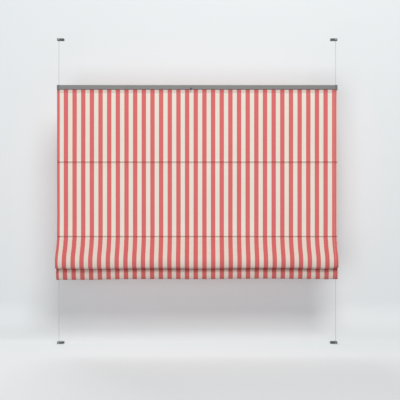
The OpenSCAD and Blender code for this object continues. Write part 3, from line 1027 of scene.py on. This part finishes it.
class ClothLine:
    """The cloth's side view: its middle line from the top rail to the lower rail."""

    def __init__(self, sizes: ClothSizes) -> None:
        """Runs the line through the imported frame's rods and rails.

        Args:
            sizes: The cloth's sizes.
        """
        self.sizes = sizes
        self.top_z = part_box("top_rail")[0].z - sizes.rail_gap
        self.rod_z = [middle(f"rod_{i}").z for i in (1, 2, 3)]
        self.tail_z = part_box("bottom_rail")[0].z - sizes.rail_gap
        base = self.rod_z[1]

        def leg(shares: Turns, depth: float, drop: float) -> list[tuple[float, float]]:
            """One side of a fold in metres."""
            return [(sizes.plane_y - d * depth, base - z * drop) for d, z in shares]

        turn_r, turn_y, turn_z = 0.85 * MM, sizes.plane_y - 0.5 * MM, self.rod_z[2] - 0.9 * MM
        angles = [math.radians(45.0 * i) for i in (1, 0, -1, -2, -3)]
        turn = [(turn_y - turn_r * math.sin(a), turn_z + turn_r * math.cos(a)) for a in angles]
        head = [(sizes.plane_y, z) for z in np.linspace(self.top_z, base, 14)]
        front = leg(FRONT_LEG_SHARES, sizes.front_depth, sizes.front_drop)
        back = leg(FRONT_RETURN_SHARES, sizes.front_depth, sizes.front_drop)
        rear = leg(REAR_LEG_SHARES, sizes.rear_depth, sizes.rear_drop)
        tail = leg(REAR_RETURN_SHARES, sizes.rear_depth, sizes.rear_drop) + [(sizes.plane_y, self.tail_z)]
        given = head + front + back + turn + rear + tail
        self.curve, at = spline(given, 0.5 * MM)
        self.length = run_length(self.curve)
        heading = np.gradient(self.curve, axis=0)
        heading /= np.linalg.norm(heading, axis=1)[:, None]
        self.room_side = np.stack([heading[:, 1], -heading[:, 0]], axis=1)
        counts = np.cumsum([len(head), len(front), len(back), len(turn), len(rear)])
        self.at_rod_2 = at[counts[0] - 1]
        self.seams = (self.top_z - self.rod_z[0], self.at_rod_2)
        self.at_front_low = at[counts[1] - 1]
        self.at_turn = at[counts[2] + 2]
        self.at_rear_low = at[counts[4] - 1]
        self.crease = self.where(base - sizes.front_drop - 0.3 * MM, self.at_turn, self.at_rear_low)
        self.total = self.length[-1]

    def place(self, s: np.ndarray) -> np.ndarray:
        """The line's (y, z) at lengths s."""
        return np.stack([np.interp(s, self.length, self.curve[:, i]) for i in (0, 1)], axis=1)

    def outward(self, s: np.ndarray) -> np.ndarray:
        """The direction (y, z) out of the cloth's room side at lengths s."""
        n = np.stack([np.interp(s, self.length, self.room_side[:, i]) for i in (0, 1)], axis=1)
        return n / np.linalg.norm(n, axis=1)[:, None]

    def where(self, z: float, after: float, before: float) -> float:
        """The length between two others at which the line passes a height.

        Args:
            z: The height in metres.
            after: Length to look from.
            before: Length to look to.

        Returns:
            The length in metres.
        """
        inside = (self.length > after) & (self.length < before)
        s, heights = self.length[inside], self.curve[inside, 1]
        k = int(np.argmin(np.abs(heights - z)))
        return float(s[k])


class Cloth:
    """The striped cloth, made as lengths; the panels follow the top rail and the rear fold the third rod.
    """

    def __init__(self, sizes: ClothSizes, line: ClothLine, material: bpy.types.Material) -> None:
        """Keeps the sizes, the side view and the finish.

        Args:
            sizes: The cloth's sizes.
            line: Its side view.
            material: Its finish.
        """
        self.sizes, self.line, self.material = sizes, line, material
        inner = sizes.half_width - sizes.side_hem
        evenly = inner - 2.0 * MM
        count = int(round(2.0 * evenly / sizes.column))
        over_hem = inner + np.array([-1.0, 0.0, 1.0, 4.0, 8.0]) * MM
        right = np.append(over_hem, sizes.half_width - sizes.edge_round)
        self.columns = np.concatenate([-right[::-1], np.linspace(-evenly, evenly, count + 1), right])

    def offset(self, x: np.ndarray, s: np.ndarray) -> tuple[np.ndarray, np.ndarray]:
        """How the hung cloth departs from its straight side view.

        Args:
            x: Places across it.
            s: Lengths down it.

        Returns:
            The moves along Y and Z.
        """
        size, line = self.sizes, self.line
        at_rod, front_low, rear_low = line.at_rod_2, line.at_front_low, line.at_rear_low
        dy, dz = np.zeros_like(x), np.zeros_like(x)

        # Grooves and puffs at the seams, and soft waves in the flat cloth between them.
        flat = smooth_step(s / 0.06)
        for at in line.seams:
            off = s - at
            dy += size.groove * np.exp(-((off / size.groove_reach) ** 2))
            for side in (-1.0, 1.0):
                puff = np.exp(-(((off - side * size.shoulder_off) / size.shoulder_reach) ** 2))
                uneven = 1.0 + 0.25 * np.sin(x * 61.0 + at * 90.0) * np.sin(x * 23.0)
                dy -= size.shoulder * puff * uneven
            flat *= smooth_step((np.abs(off) - 0.008) / 0.05)
        flat *= s < at_rod
        waves = np.sin(x * 11.3 + 0.7) * np.sin(s * 17.0 + 0.4) + 0.6 * np.sin(x * 29.0 + s * 9.0)
        dy += flat * size.hollow * waves

        # The folds swell unevenly along the blind, and lie a little flatter at their ends.
        right_end = smooth_step((x - (size.half_width - 0.045)) / 0.045)
        left_end = smooth_step((-x - (size.half_width - 0.035)) / 0.035)
        front = hump(s, at_rod + 0.006, 0.06, front_low + 0.09, 0.07)
        rear = hump(s, line.at_turn + 0.05, 0.06, rear_low + 0.07, 0.06)
        dy += front * MM * (ripple(x, FRONT_SWELL) + 2.0 * right_end + 1.5 * left_end)
        dy += rear * MM * ripple(x, REAR_SWELL)

        # Their lowest lines rise and fall.
        front = hump(s, front_low - 0.055, 0.045, front_low + 0.013, 0.012)
        rear = hump(s, rear_low - 0.04, 0.035, rear_low + 0.0055, 0.005)
        dz += front * MM * along_wave(x, FRONT_LOW_WAVE) + rear * MM * along_wave(x, REAR_LOW_WAVE)
        return dy, dz

    def rows(self, start: float, end: float) -> np.ndarray:
        """Lengths of a piece's rows, closer together at the hem's edge and in the grooves of the seams.

        Args:
            start: Length at its upper edge.
            end: Length at its lower edge.

        Returns:
            The lengths in order.
        """
        size = self.sizes
        step = size.panel_row if end <= self.line.at_rod_2 else size.row
        count = max(4, int(math.ceil((end - start) / step)))
        places = [np.linspace(start, end, count + 1)]
        places.append(size.hem + np.array([-0.6, -0.2, 0.2, 0.6, 1.2]) * MM)
        for seam in self.line.seams:
            places.append(seam + size.groove_reach * np.linspace(-7.0, 7.0, 33))
        down = np.unique(np.concatenate(places).round(6))
        down = down[(down > start) & (down < end)]
        return np.concatenate([[start], down, [end]])

    def sheet(self, name: str, start: float, end: float) -> bpy.types.Object:
        """Makes one length of the cloth as a thin closed sheet.

        Args:
            name: The piece's name.
            start: Length down the cut at its upper edge.
            end: Length down the cut at its lower edge.

        Returns:
            The piece.
        """
        size, line = self.sizes, self.line
        down = self.rows(start, end)
        x, s = np.meshgrid(self.columns, down)
        place, out = line.place(down), line.outward(down)
        dy, dz = self.offset(x, s)
        x = x - size.left_reach * smooth_step((-x - size.half_width + size.left_start) / size.left_ramp)
        hem = size.hem_thickness * smooth_step((size.hem + 0.4 * MM - s) / (0.8 * MM))
        side = size.side_hem_thickness * smooth_step((np.abs(x) - (size.half_width - size.side_hem)) / MM)
        front, back = size.thickness / 2.0 + hem, size.thickness / 2.0 + side

        def layer(away: np.ndarray, xs: np.ndarray) -> np.ndarray:
            """The points that lie a distance out of the middle line."""
            y = place[:, None, 0] + dy + out[:, None, 0] * away
            z = place[:, None, 1] + dz + out[:, None, 1] * away
            return np.stack([xs, y, z], axis=2)

        # Round the sheet once: its room side from left to right, its right edge, its back, its left edge.
        room = layer(front, x)
        rear = layer(-back, x)[:, ::-1]
        edge = (front - back) / 2.0
        right_edge = layer(edge, x + size.edge_round)[:, -1:]
        left_edge = layer(edge, x - size.edge_round)[:, :1]
        grid = np.concatenate([room, right_edge, rear, left_edge], axis=1)
        round_x = np.concatenate([self.columns, [size.half_width], self.columns[::-1], [-size.half_width]])
        n, m = grid.shape[:2]
        columns = len(self.columns)
        caps = []
        for row, flip in ((0, False), (n - 1, True)):
            for c in range(columns - 1):
                a, b = row * m + c, row * m + c + 1
                d, e = row * m + 2 * columns - c, row * m + 2 * columns - c - 1
                caps.append((a, b, e, d) if not flip else (a, d, e, b))
            first, last = row * m, row * m + columns - 1
            tip_right, back_right = row * m + columns, row * m + columns + 1
            tip_left, back_left = row * m + m - 1, row * m + 2 * columns
            right = (last, tip_right, back_right)
            left = (first, back_left, tip_left)
            caps += [right, left] if not flip else [right[::-1], left[::-1]]
        faces = ring_quads(n, m, back=True) + caps
        last_row = (n - 1) * m

        def sharp(a: int, b: int) -> bool:
            """Whether an edge lies round the piece's upper or lower end."""
            return (a < m and b < m) or (a >= last_row and b >= last_row)

        cut = corner_cut(round_x[None], down[:, None], faces)
        piece = mesh_piece(name, grid.reshape(-1, 3), faces, cut, sharp)
        dress(piece, self.material)
        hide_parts("cloth", "red_stripes")
        return piece

    def build(self) -> None:
        """Makes every length, hangs each one that follows a single body on it, and tells its flat size."""
        size, line = self.sizes, self.line
        rod_2, rod_3 = line.rod_z[1:]
        middle_z = rod_2 - size.middle_share * size.front_drop
        back_z = rod_2 - size.front_drop + size.back_rise
        turn_z = rod_3 - size.turn_fall
        rear_z = rod_2 - size.rear_drop + size.rear_rise
        tail_z = line.tail_z - size.tail_fall
        tail_start_z = (rear_z - size.tail_share * tail_z) / (1.0 - size.tail_share)
        at_middle = line.where(middle_z, line.at_rod_2, line.at_front_low)
        at_back = line.where(back_z, line.at_front_low, line.at_turn)
        at_turn = line.where(turn_z, line.at_front_low, line.at_turn)
        at_rear = line.where(rear_z, line.at_rear_low, line.total)

        # Each length's name and lower end, the bodies that it follows, the heights at which it wholly
        # follows the first and the second of them, and what it rests on.
        top, still, third, lower = Body.TOP_RAIL, Body.FRAME, Body.ROD_3, Body.BOTTOM_RAIL
        lengths = [
            ("panels", line.at_rod_2, (top,), (), ["top_cloth_strip"]),
            ("front_fold_upper", at_middle, (top, still), (rod_2 - 6.0 * MM, middle_z), ["cloth_panels"]),
            ("front_fold_lower", at_back, (still, third), (middle_z, 2.0 * back_z - middle_z),
             ["cloth_front_fold_upper"]),
            ("front_fold_back", at_turn, (still, third), (2.0 * back_z - turn_z, turn_z),
             ["cloth_front_fold_lower"]),
            ("rear_fold", at_rear, (third,), (), ["cloth_front_fold_back"]),
            ("rear_fold_back", line.total, (still, lower), (tail_start_z, tail_z),
             ["cloth_rear_fold", "bottom_cloth_strip"]),
        ]
        start = 0.0
        for name, end, bodies, heights, rests in lengths:
            piece = self.sheet(f"cloth_{name}", start, end)
            if heights:
                first, second = [(0.0, size.plane_y, z) for z in heights]
                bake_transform(piece)
                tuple(first)
                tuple(second)
            else:
                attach(piece, bodies[0].value)
            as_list(rests)
            LOG.info("%s: %.0f mm of cloth", piece.name, (end - start) / MM)
            start = end


@dataclass(frozen=True)
class PocketSizes:
    """Sizes of a rod pocket, in metres.

    Attributes:
        inner_radius: Radius of the tunnel.
        wall: Thickness of its cloth.
        neck: Half opening of the neck, as a share of the radius.
        sewn: Distance of the sewn edge behind the cloth's plane.
        sewn_outer: Half height of the neck's outside at the sewn edge.
        sewn_inner: Half height of its inside there.
        end_gap: Gap between its ends and the rod guides.
        columns: Rings along it.
        sides: Facets round it.
        pucker: How much it puckers between stitches, as a share of the radius.
    """

    inner_radius: float = 2.25 * MM
    wall: float = 0.7 * MM
    neck: float = 0.45
    sewn: float = 0.9 * MM
    sewn_outer: float = 1.0 * MM
    sewn_inner: float = 0.3 * MM
    end_gap: float = 2.0 * MM
    columns: int = 60
    sides: int = 24
    pucker: float = 0.04


class RodPocket:
    """The sewn tunnel of cloth behind a seam that holds a rod."""

    def __init__(self, sizes: PocketSizes, plane_y: float, material: bpy.types.Material) -> None:
        """Keeps the sizes, the cloth's plane and its finish."""
        self.sizes, self.plane_y, self.material = sizes, plane_y, material

    def build(self, number: int, body: Body) -> None:
        """Makes one pocket.

        Args:
            number: Which rod it holds.
            body: The body that it rides on.
        """
        size, rod = self.sizes, middle(f"rod_{number}")
        sewn_y, neck = self.plane_y + size.sewn, math.asin(size.neck)
        angles = np.linspace(math.pi + neck, 3.0 * math.pi - neck, size.sides + 1)

        def side(radius: float, sewn: float) -> list[tuple[float, float]]:
            """The outline of one side of the cloth round the rod."""
            bow = [(rod.y + radius * math.cos(a), rod.z + radius * math.sin(a)) for a in angles]
            return [(sewn_y, rod.z - sewn)] + bow + [(sewn_y, rod.z + sewn)]

        outer = side(size.inner_radius + size.wall, size.sewn_outer)
        loop = np.array(outer + side(size.inner_radius, size.sewn_inner)[::-1])
        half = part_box(f"rod_{number}_guide_right")[0].x - size.end_gap
        xs = np.linspace(-half, half, size.columns)
        swell = 1.0 + size.pucker * np.sin(xs * 130.0) * np.sin(xs * 47.0)
        centre, at_back = np.array([rod.y, rod.z]), loop[:, :1] > rod.y
        grid = np.stack([
            np.column_stack([np.full(len(loop), x), centre + (loop - centre) * np.where(at_back, w, 1.0)])
            for x, w in zip(xs, swell)
        ])
        n, m = grid.shape[:2]
        faces = ring_quads(n, m)
        for row, flip in ((0, True), (n - 1, False)):
            for c in range(m // 2 - 1):
                face = (row * m + c, row * m + c + 1, row * m + m - 2 - c, row * m + m - 1 - c)
                faces.append(face[::-1] if flip else face)
        cut = corner_cut(xs[:, None], run_length(loop)[None] + 0.02, faces)
        piece = mesh_piece(f"rod_pocket_{number}", grid.reshape(-1, 3), faces, cut)
        dress(piece, self.material)
        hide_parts("cloth")
        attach(piece, body.value)
        LOG.info("%s built", piece.name)


@dataclass(frozen=True)
class StitchSizes:
    """Sizes of a raised stitch, in metres.

    Attributes:
        pitch: Distance from one stitch to the next.
        radius: Radius of the thread.
        margin: Distance of the row's ends from the cloth's edges.
        sides: Facets round the thread.
        shares: Places along a stitch, as shares of the pitch.
        swell: The thread's radius at each place, as a share of the full one.
        rise: How far it stands out at each place, from 0 to 1.
        lift: How far it stands out at 1, in thread radii.
    """

    pitch: float = STITCH_PITCH
    radius: float = 0.2 * MM
    margin: float = 1.5 * MM
    sides: int = 6
    shares: tuple[float, ...] = (-0.42, -0.34, 0.0, 0.34, 0.42)
    swell: tuple[float, ...] = (0.25, 0.85, 1.0, 0.85, 0.25)
    rise: tuple[float, ...] = (0.0, 0.6, 1.0, 0.6, 0.0)
    lift: float = 0.4


class StitchRow:
    """Sewing thread that stands out of the cloth as short raised stitches."""

    def __init__(self, sizes: StitchSizes, cloth: Cloth, material: bpy.types.Material) -> None:
        """Keeps the sizes, the cloth that is sewn and the thread's finish."""
        self.sizes, self.cloth, self.material = sizes, cloth, material

    def build(self, name: str, s: float, proud: float, body: Body) -> None:
        """Makes a level row of stitches on the room side.

        Args:
            name: The piece's name.
            s: Length down the cloth.
            proud: How far the cloth's room side lies in front of its middle line there.
            body: The body that it rides on.
        """
        size, sides, rings = self.sizes, self.sizes.sides, len(self.sizes.shares)
        count = int(2.0 * (self.cloth.sizes.half_width - size.margin) / size.pitch)
        swell, rise = np.array(size.swell)[:, None], np.array(size.rise)[:, None]
        turn = np.linspace(0.0, 2.0 * math.pi, sides, endpoint=False)
        mids = (np.arange(count) - (count - 1) / 2.0) * size.pitch
        x = (mids[:, None] + np.array(size.shares) * size.pitch)[:, :, None]
        dy, dz = self.cloth.offset(mids, np.full(count, s))
        at = self.cloth.line.place(np.array([s]))[0]
        y = at[0] + dy[:, None, None] - proud - size.radius * (size.lift * rise + swell * np.cos(turn))
        z = at[1] + dz[:, None, None] + size.radius * swell * np.sin(turn)
        points = np.stack(np.broadcast_arrays(x, y, z), axis=3).reshape(-1, 3)
        one = ring_quads(rings, sides)
        one += [tuple(range(sides - 1, -1, -1)), tuple(range((rings - 1) * sides, rings * sides))]
        faces = [[base + v for v in face] for base in range(0, len(points), rings * sides) for face in one]
        piece = mesh_piece(name, points, faces)
        dress(piece, self.material)
        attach(piece, body.value)
        LOG.info("%s: %d stitches", name, count)


# ---------------------------------------------------------------- the cords


@dataclass(frozen=True)
class CordSizes:
    """Sizes of a tension cord, in metres.

    Attributes:
        radius: Radius of the cord.
        knot_radius: Radius of a knot.
        knot_reach: Half of a knot's height.
        bend: Radius of the bend inside a cap.
        rise: How far a crossing run leans to its two ends.
        part: Distance of the two crossing runs from the middle of a rail.
        channel: Height of the crossing runs over a rail's lower edge.
        sides: Facets round it.
    """

    radius: float = 0.6 * MM
    knot_radius: float = 1.15 * MM
    knot_reach: float = 1.4 * MM
    bend: float = 2.4 * MM
    rise: float = 0.9 * MM
    part: float = 1.2 * MM
    channel: float = 10.5 * MM
    sides: int = 10


class TensionCords:
    """The two taut cords: their upright runs, and the runs that cross inside the rails."""

    def __init__(self, sizes: CordSizes, material: bpy.types.Material) -> None:
        """Keeps the sizes and the finish."""
        self.sizes, self.material = sizes, material

    def run(self, side: float, name: str, node: str) -> None:
        """The upright run at one side, from barrel to barrel, with a knot at each end.

        Args:
            side: -1 at the left and 1 at the right.
            name: The piece's name.
            node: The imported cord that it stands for.
        """
        size = self.sizes
        label = "left" if side < 0 else "right"
        top, low = middle(f"anchor_top_{label}").z, middle(f"anchor_bottom_{label}").z
        x = side * (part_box(node)[1].x - size.knot_radius)
        z = np.concatenate([
            np.linspace(top + size.knot_reach * 0.7, top - size.knot_reach, 7),
            np.linspace(top - 2.0 * size.knot_reach, low + 2.0 * size.knot_reach, 240),
            np.linspace(low + size.knot_reach, low - size.knot_reach * 0.7, 7),
        ])
        knot = size.knot_radius - size.radius
        near = np.minimum(np.abs(z - top), np.abs(z - low)) / size.knot_reach
        radii = size.radius + knot * np.sqrt(np.clip(1.0 - near**2, 0.0, 1.0))
        path = np.column_stack([np.full(len(z), x), np.zeros(len(z)), z])
        self._finish(swept_tube(name, path, radii, size.sides), node, Body.FRAME)

    def crossing(self, rail: Body, from_side: float, name: str, node: str) -> None:
        """A run that comes down into a rail's cap, crosses the rail and leaves at its other end.

        Args:
            rail: The rail, which has its body's name.
            from_side: The side at which it comes down.
            name: The piece's name.
            node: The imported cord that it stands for.
        """
        size = self.sizes
        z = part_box(rail.value)[0].z + size.channel
        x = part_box(node)[1].x - size.knot_radius
        depth = size.part * (1.0 if node.endswith("right") else -1.0)
        turns = [math.radians(15.0 * k) for k in range(7)]

        def bend(way: float) -> list[Point]:
            """The bend at the end where the cord comes down, at 1, or where it leaves, at -1."""
            return [(from_side * way * (x - size.bend * (1.0 - math.cos(a))), 0.0,
                     z + way * (size.rise + size.bend * (1.0 - math.sin(a)))) for a in turns]

        across = [(from_side * x * t, depth * math.cos(t * math.pi / 2.0), z + size.rise * t)
                  for t in np.linspace(0.9, -0.9, 25)]
        line = np.array(bend(1.0) + across + bend(-1.0)[::-1])
        radii = np.full(len(line), size.radius)
        self._finish(swept_tube(name, line, radii, size.sides), node, rail)

    def _finish(self, piece: bpy.types.Object, node: str, body: Body) -> None:
        """Dresses a run, hides the imported cord that it stands for and hangs it on the body that it
        follows.
        """
        dress(piece, self.material)
        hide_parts(node)
        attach(piece, body.value)

    def build(self) -> None:
        """Makes every run of both cords."""
        for side, label in ((-1.0, "left"), (1.0, "right")):
            node = f"tension_cord_{label}"
            self.run(side, f"cord_run_{label}", node)
            self.crossing(Body.TOP_RAIL, side, f"cord_{label}_in_top_rail", node)
            self.crossing(Body.BOTTOM_RAIL, -side, f"cord_{label}_in_bottom_rail", node)
        LOG.info("tension cords built")


# ---------------------------------------------------------------- the frame's own nodes


class Hardware:
    """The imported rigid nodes, which keep their shape and get their finishes."""

    def __init__(self, effects: Effects) -> None:
        """Makes the finishes.

        Args:
            effects: The shared effects.
        """
        self.by_word = [
            ("shoe", PlasticFinish("shoe_plastic", (0.060, 0.066, 0.072), 0.46).make(effects)),
            ("anchor", MetalFinish("anchor_metal", (0.26, 0.26, 0.26), 0.42).make(effects)),
            ("cap", PlasticFinish("cap_plastic", (0.122, 0.125, 0.127), 0.48).make(effects)),
            ("guide", PlasticFinish("guide_plastic", (0.095, 0.100, 0.104), 0.50).make(effects)),
            ("grip", PlasticFinish("grip_plastic", (0.040, 0.040, 0.042), 0.38).make(effects)),
            ("cloth_strip", PlasticFinish("strip_plastic", (0.72, 0.70, 0.66), 0.42).make(effects)),
            ("_rail", MetalFinish("rail_metal", (0.172, 0.169, 0.167), 0.48, 0.40).make(effects)),
            ("rod_", PlasticFinish("rod_plastic", (0.74, 0.72, 0.68), 0.40).make(effects)),
        ]

    def build(self) -> None:
        """Gives each packed rigid node its finish."""
        for node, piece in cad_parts.items():
            if node in ("cloth", "red_stripes") or node.startswith("tension_cord"):
                continue
            material = next(m for word, m in self.by_word if word in node)
            dress(piece, material)
            for polygon in piece.data.polygons:
                polygon.use_smooth = True
            LOG.info("%s: %s", node, material.name)


# ---------------------------------------------------------------- the studio


@dataclass(frozen=True)
class StudioSizes:
    """Places of the camera and the paper, in metres, and the air's light.

    Attributes:
        eye: The camera's place.
        lens: Its focal length in millimetres.
        sensor: The width of its sensor in millimetres.
        clip: The nearest and farthest distance that it sees.
        aim: What the lamps face.
        floor_z: Height of the floor.
        wall_y: Place of the upright backdrop.
        curve: Radius of the sweep between them.
        half_width: Half of the paper's width.
        reach: How far the floor reaches into the room.
        top_z: Height of the backdrop's upper edge.
        air: Strength of the air's soft light.
        seen_air: How much brighter the air is to the camera and in reflections.
    """

    eye: Point = (9.7 * MM, -3127.0 * MM, -560.2 * MM)
    lens: float = 81.0
    sensor: float = 36.0
    clip: tuple[float, float] = (0.05, 60.0)
    aim: Point = (0.0, 0.0, -0.55)
    floor_z: float = -1.0585
    wall_y: float = 0.17
    curve: float = 0.13
    half_width: float = 4.0
    reach: float = 5.0
    top_z: float = 2.5
    air: float = 0.34
    seen_air: float = 0.48


@dataclass(frozen=True)
class Lamp:
    """A square soft lamp.

    Attributes:
        name: Its name.
        place: Where it hangs.
        side: Length of its side in metres.
        power: Its power in watts.
        colour: Its colour.
    """

    name: str
    place: Point
    side: float
    power: float
    colour: Colour


LAMPS = (
    Lamp("key_lamp", (0.6, -2.75, 2.3), 2.0, 93.0, (1.0, 0.99, 0.97)),
    Lamp("fill_lamp", (-0.8, -3.9, -1.1), 2.4, 56.0, (0.98, 0.99, 1.0)),
    Lamp("back_lamp", (-0.9, 3.2, 0.9), 2.2, 96.0, (1.0, 0.99, 0.98)),
)


@dataclass(frozen=True)
class PaperFinish:
    """The studio's paper. The camera and reflections see it, and the air's soft light passes through it.

    Attributes:
        name: The material's name.
        colour: Linear colour of the paper.
    """

    name: str = "studio_paper"
    colour: Colour = (0.775, 0.81, 0.825)

    def make(self) -> bpy.types.Material:
        """Builds the material.

        Returns:
            The material.
        """
        material, g = new_material(self.name)
        paper = g.add("BsdfPrincipled", {
            "Base Color": (*self.colour, 1.0), "Roughness": 0.9, "Specular IOR Level": 0.1,
        })
        clear = g.add("BsdfTransparent")
        behind = g.add("NewGeometry").outputs["Backfacing"]
        passed = g.math("MAXIMUM", behind, g.math("SUBTRACT", 1.0, plainly_seen(g)))
        mixed = g.add("MixShader", {"Fac": passed})
        g.feed(mixed.inputs[1], paper.outputs[0])
        g.feed(mixed.inputs[2], clear.outputs[0])
        g.add("OutputMaterial", {"Surface": mixed.outputs[0]})
        return material


def plainly_seen(g: Graph) -> bpy.types.NodeSocket:
    """A mask of the rays that show the studio: the camera's, and those of reflections and clear pieces.

    Args:
        g: The graph that uses it.

    Returns:
        1 for those rays, and 0 for the others.
    """
    rays = g.add("LightPath").outputs
    mirrored = g.math("MAXIMUM", rays["Is Glossy Ray"], rays["Is Transmission Ray"])
    return g.math("MAXIMUM", rays["Is Camera Ray"], mirrored)


class Studio:
    """A pale floor that curves up into a backdrop, soft lamps and the camera."""

    def __init__(self, sizes: StudioSizes, finish: PaperFinish) -> None:
        """Keeps the sizes and the paper's finish."""
        self.sizes, self.finish = sizes, finish

    def backdrop(self) -> None:
        """Makes the floor and backdrop in one sweep."""
        size = self.sizes
        line = [(-size.reach, size.floor_z)]
        for k in range(13):
            a = math.radians(7.5 * k)
            y = size.wall_y - size.curve + size.curve * math.sin(a)
            line.append((y, size.floor_z + size.curve * (1.0 - math.cos(a))))
        line.append((size.wall_y, size.top_z))
        points = [(x, y, z) for y, z in line for x in (-size.half_width, size.half_width)]
        faces = [(2 * i, 2 * i + 1, 2 * i + 3, 2 * i + 2) for i in range(len(line) - 1)]
        piece = mesh_piece("studio_sweep", np.array(points), faces)
        dress(piece, self.finish.make())

    def hang(self, lamp: Lamp) -> None:
        """Adds a lamp that faces the blind."""
        data = bpy.data.lights.new(lamp.name, "AREA")
        data.shape, data.size, data.energy, data.color = "SQUARE", lamp.side, lamp.power, lamp.colour
        hung = bpy.data.objects.new(lamp.name, data)
        hung.location = lamp.place
        aim = Vector(self.sizes.aim) - Vector(lamp.place)
        hung.rotation_euler = aim.to_track_quat("-Z", "Y").to_euler()
        bpy.context.scene.collection.objects.link(hung)

    def air(self) -> None:
        """Sets the soft light that comes from all round."""
        world = bpy.data.worlds.new("studio_air")
        bpy.context.scene.world = world
        world.use_nodes = True
        g = Graph(world.node_tree)
        strength = g.math("MULTIPLY_ADD", plainly_seen(g), self.sizes.seen_air, self.sizes.air)
        sky = g.add("Background", {"Color": (0.97, 0.98, 1.0, 1.0), "Strength": strength})
        g.add("OutputWorld", {"Surface": sky.outputs[0]})

    def camera(self) -> None:
        """Sets up the camera, which looks level at the blind's room side."""
        size = self.sizes
        data = bpy.data.cameras.new("camera")
        data.lens, data.sensor_width = size.lens, size.sensor
        data.clip_start, data.clip_end = size.clip
        camera = bpy.data.objects.new("camera", data)
        camera.location = size.eye
        camera.rotation_euler = (math.radians(90.0), 0.0, 0.0)
        bpy.context.scene.collection.objects.link(camera)
        bpy.context.scene.camera = camera

    def build(self) -> None:
        """Sets up the whole studio."""
        bpy.context.scene.view_settings.view_transform = "Standard"
        self.backdrop()
        self.air()
        for lamp in LAMPS:
            self.hang(lamp)
        self.camera()
        LOG.info("studio built")


def main() -> None:
    """Builds the dressed blind and the studio in order."""
    logging.basicConfig(level=logging.INFO, format="%(message)s")
    effects = Effects()
    sizes = ClothSizes()
    line = ClothLine(sizes)
    thread = (0.72, 0.67, 0.60)
    hem_row = sizes.hem - sizes.stitch_inset
    ticking = TickingFinish(
        name="ticking",
        red=(0.692, 0.130, 0.134),
        cream=(0.806, 0.756, 0.662),
        thread=thread,
        stripe_pitch=30.0 * MM,
        first_stripe=-462.5 * MM,
        yarn=0.62 * MM,
        seams=line.seams,
        hem=sizes.hem,
        hem_row=hem_row,
        side_row=sizes.half_width - sizes.side_hem + sizes.stitch_inset,
        crease=line.crease,
    ).make(effects)
    Studio(StudioSizes(), PaperFinish()).build()
    TensionCords(CordSizes(), CordFinish("cord_braid", (0.42, 0.44, 0.45)).make(effects)).build()
    cloth = Cloth(sizes, line, ticking)
    cloth.build()
    stitches = StitchRow(StitchSizes(), cloth, ThreadFinish("sewing_thread", thread).make(effects))
    stitches.build("hem_stitches", hem_row, sizes.thickness / 2.0 + sizes.hem_thickness, Body.TOP_RAIL)
    for number, seam in enumerate(line.seams, 1):
        stitches.build(f"seam_stitches_{number}", seam, sizes.thickness / 2.0, Body.TOP_RAIL)
    pocket = RodPocket(PocketSizes(), sizes.plane_y, ticking)
    for number, body in ((1, Body.TOP_RAIL), (2, Body.TOP_RAIL), (3, Body.ROD_3)):
        pocket.build(number, body)
    Hardware(effects).build()
    LOG.info("boxes written")


if __name__ == "__main__":
    main()
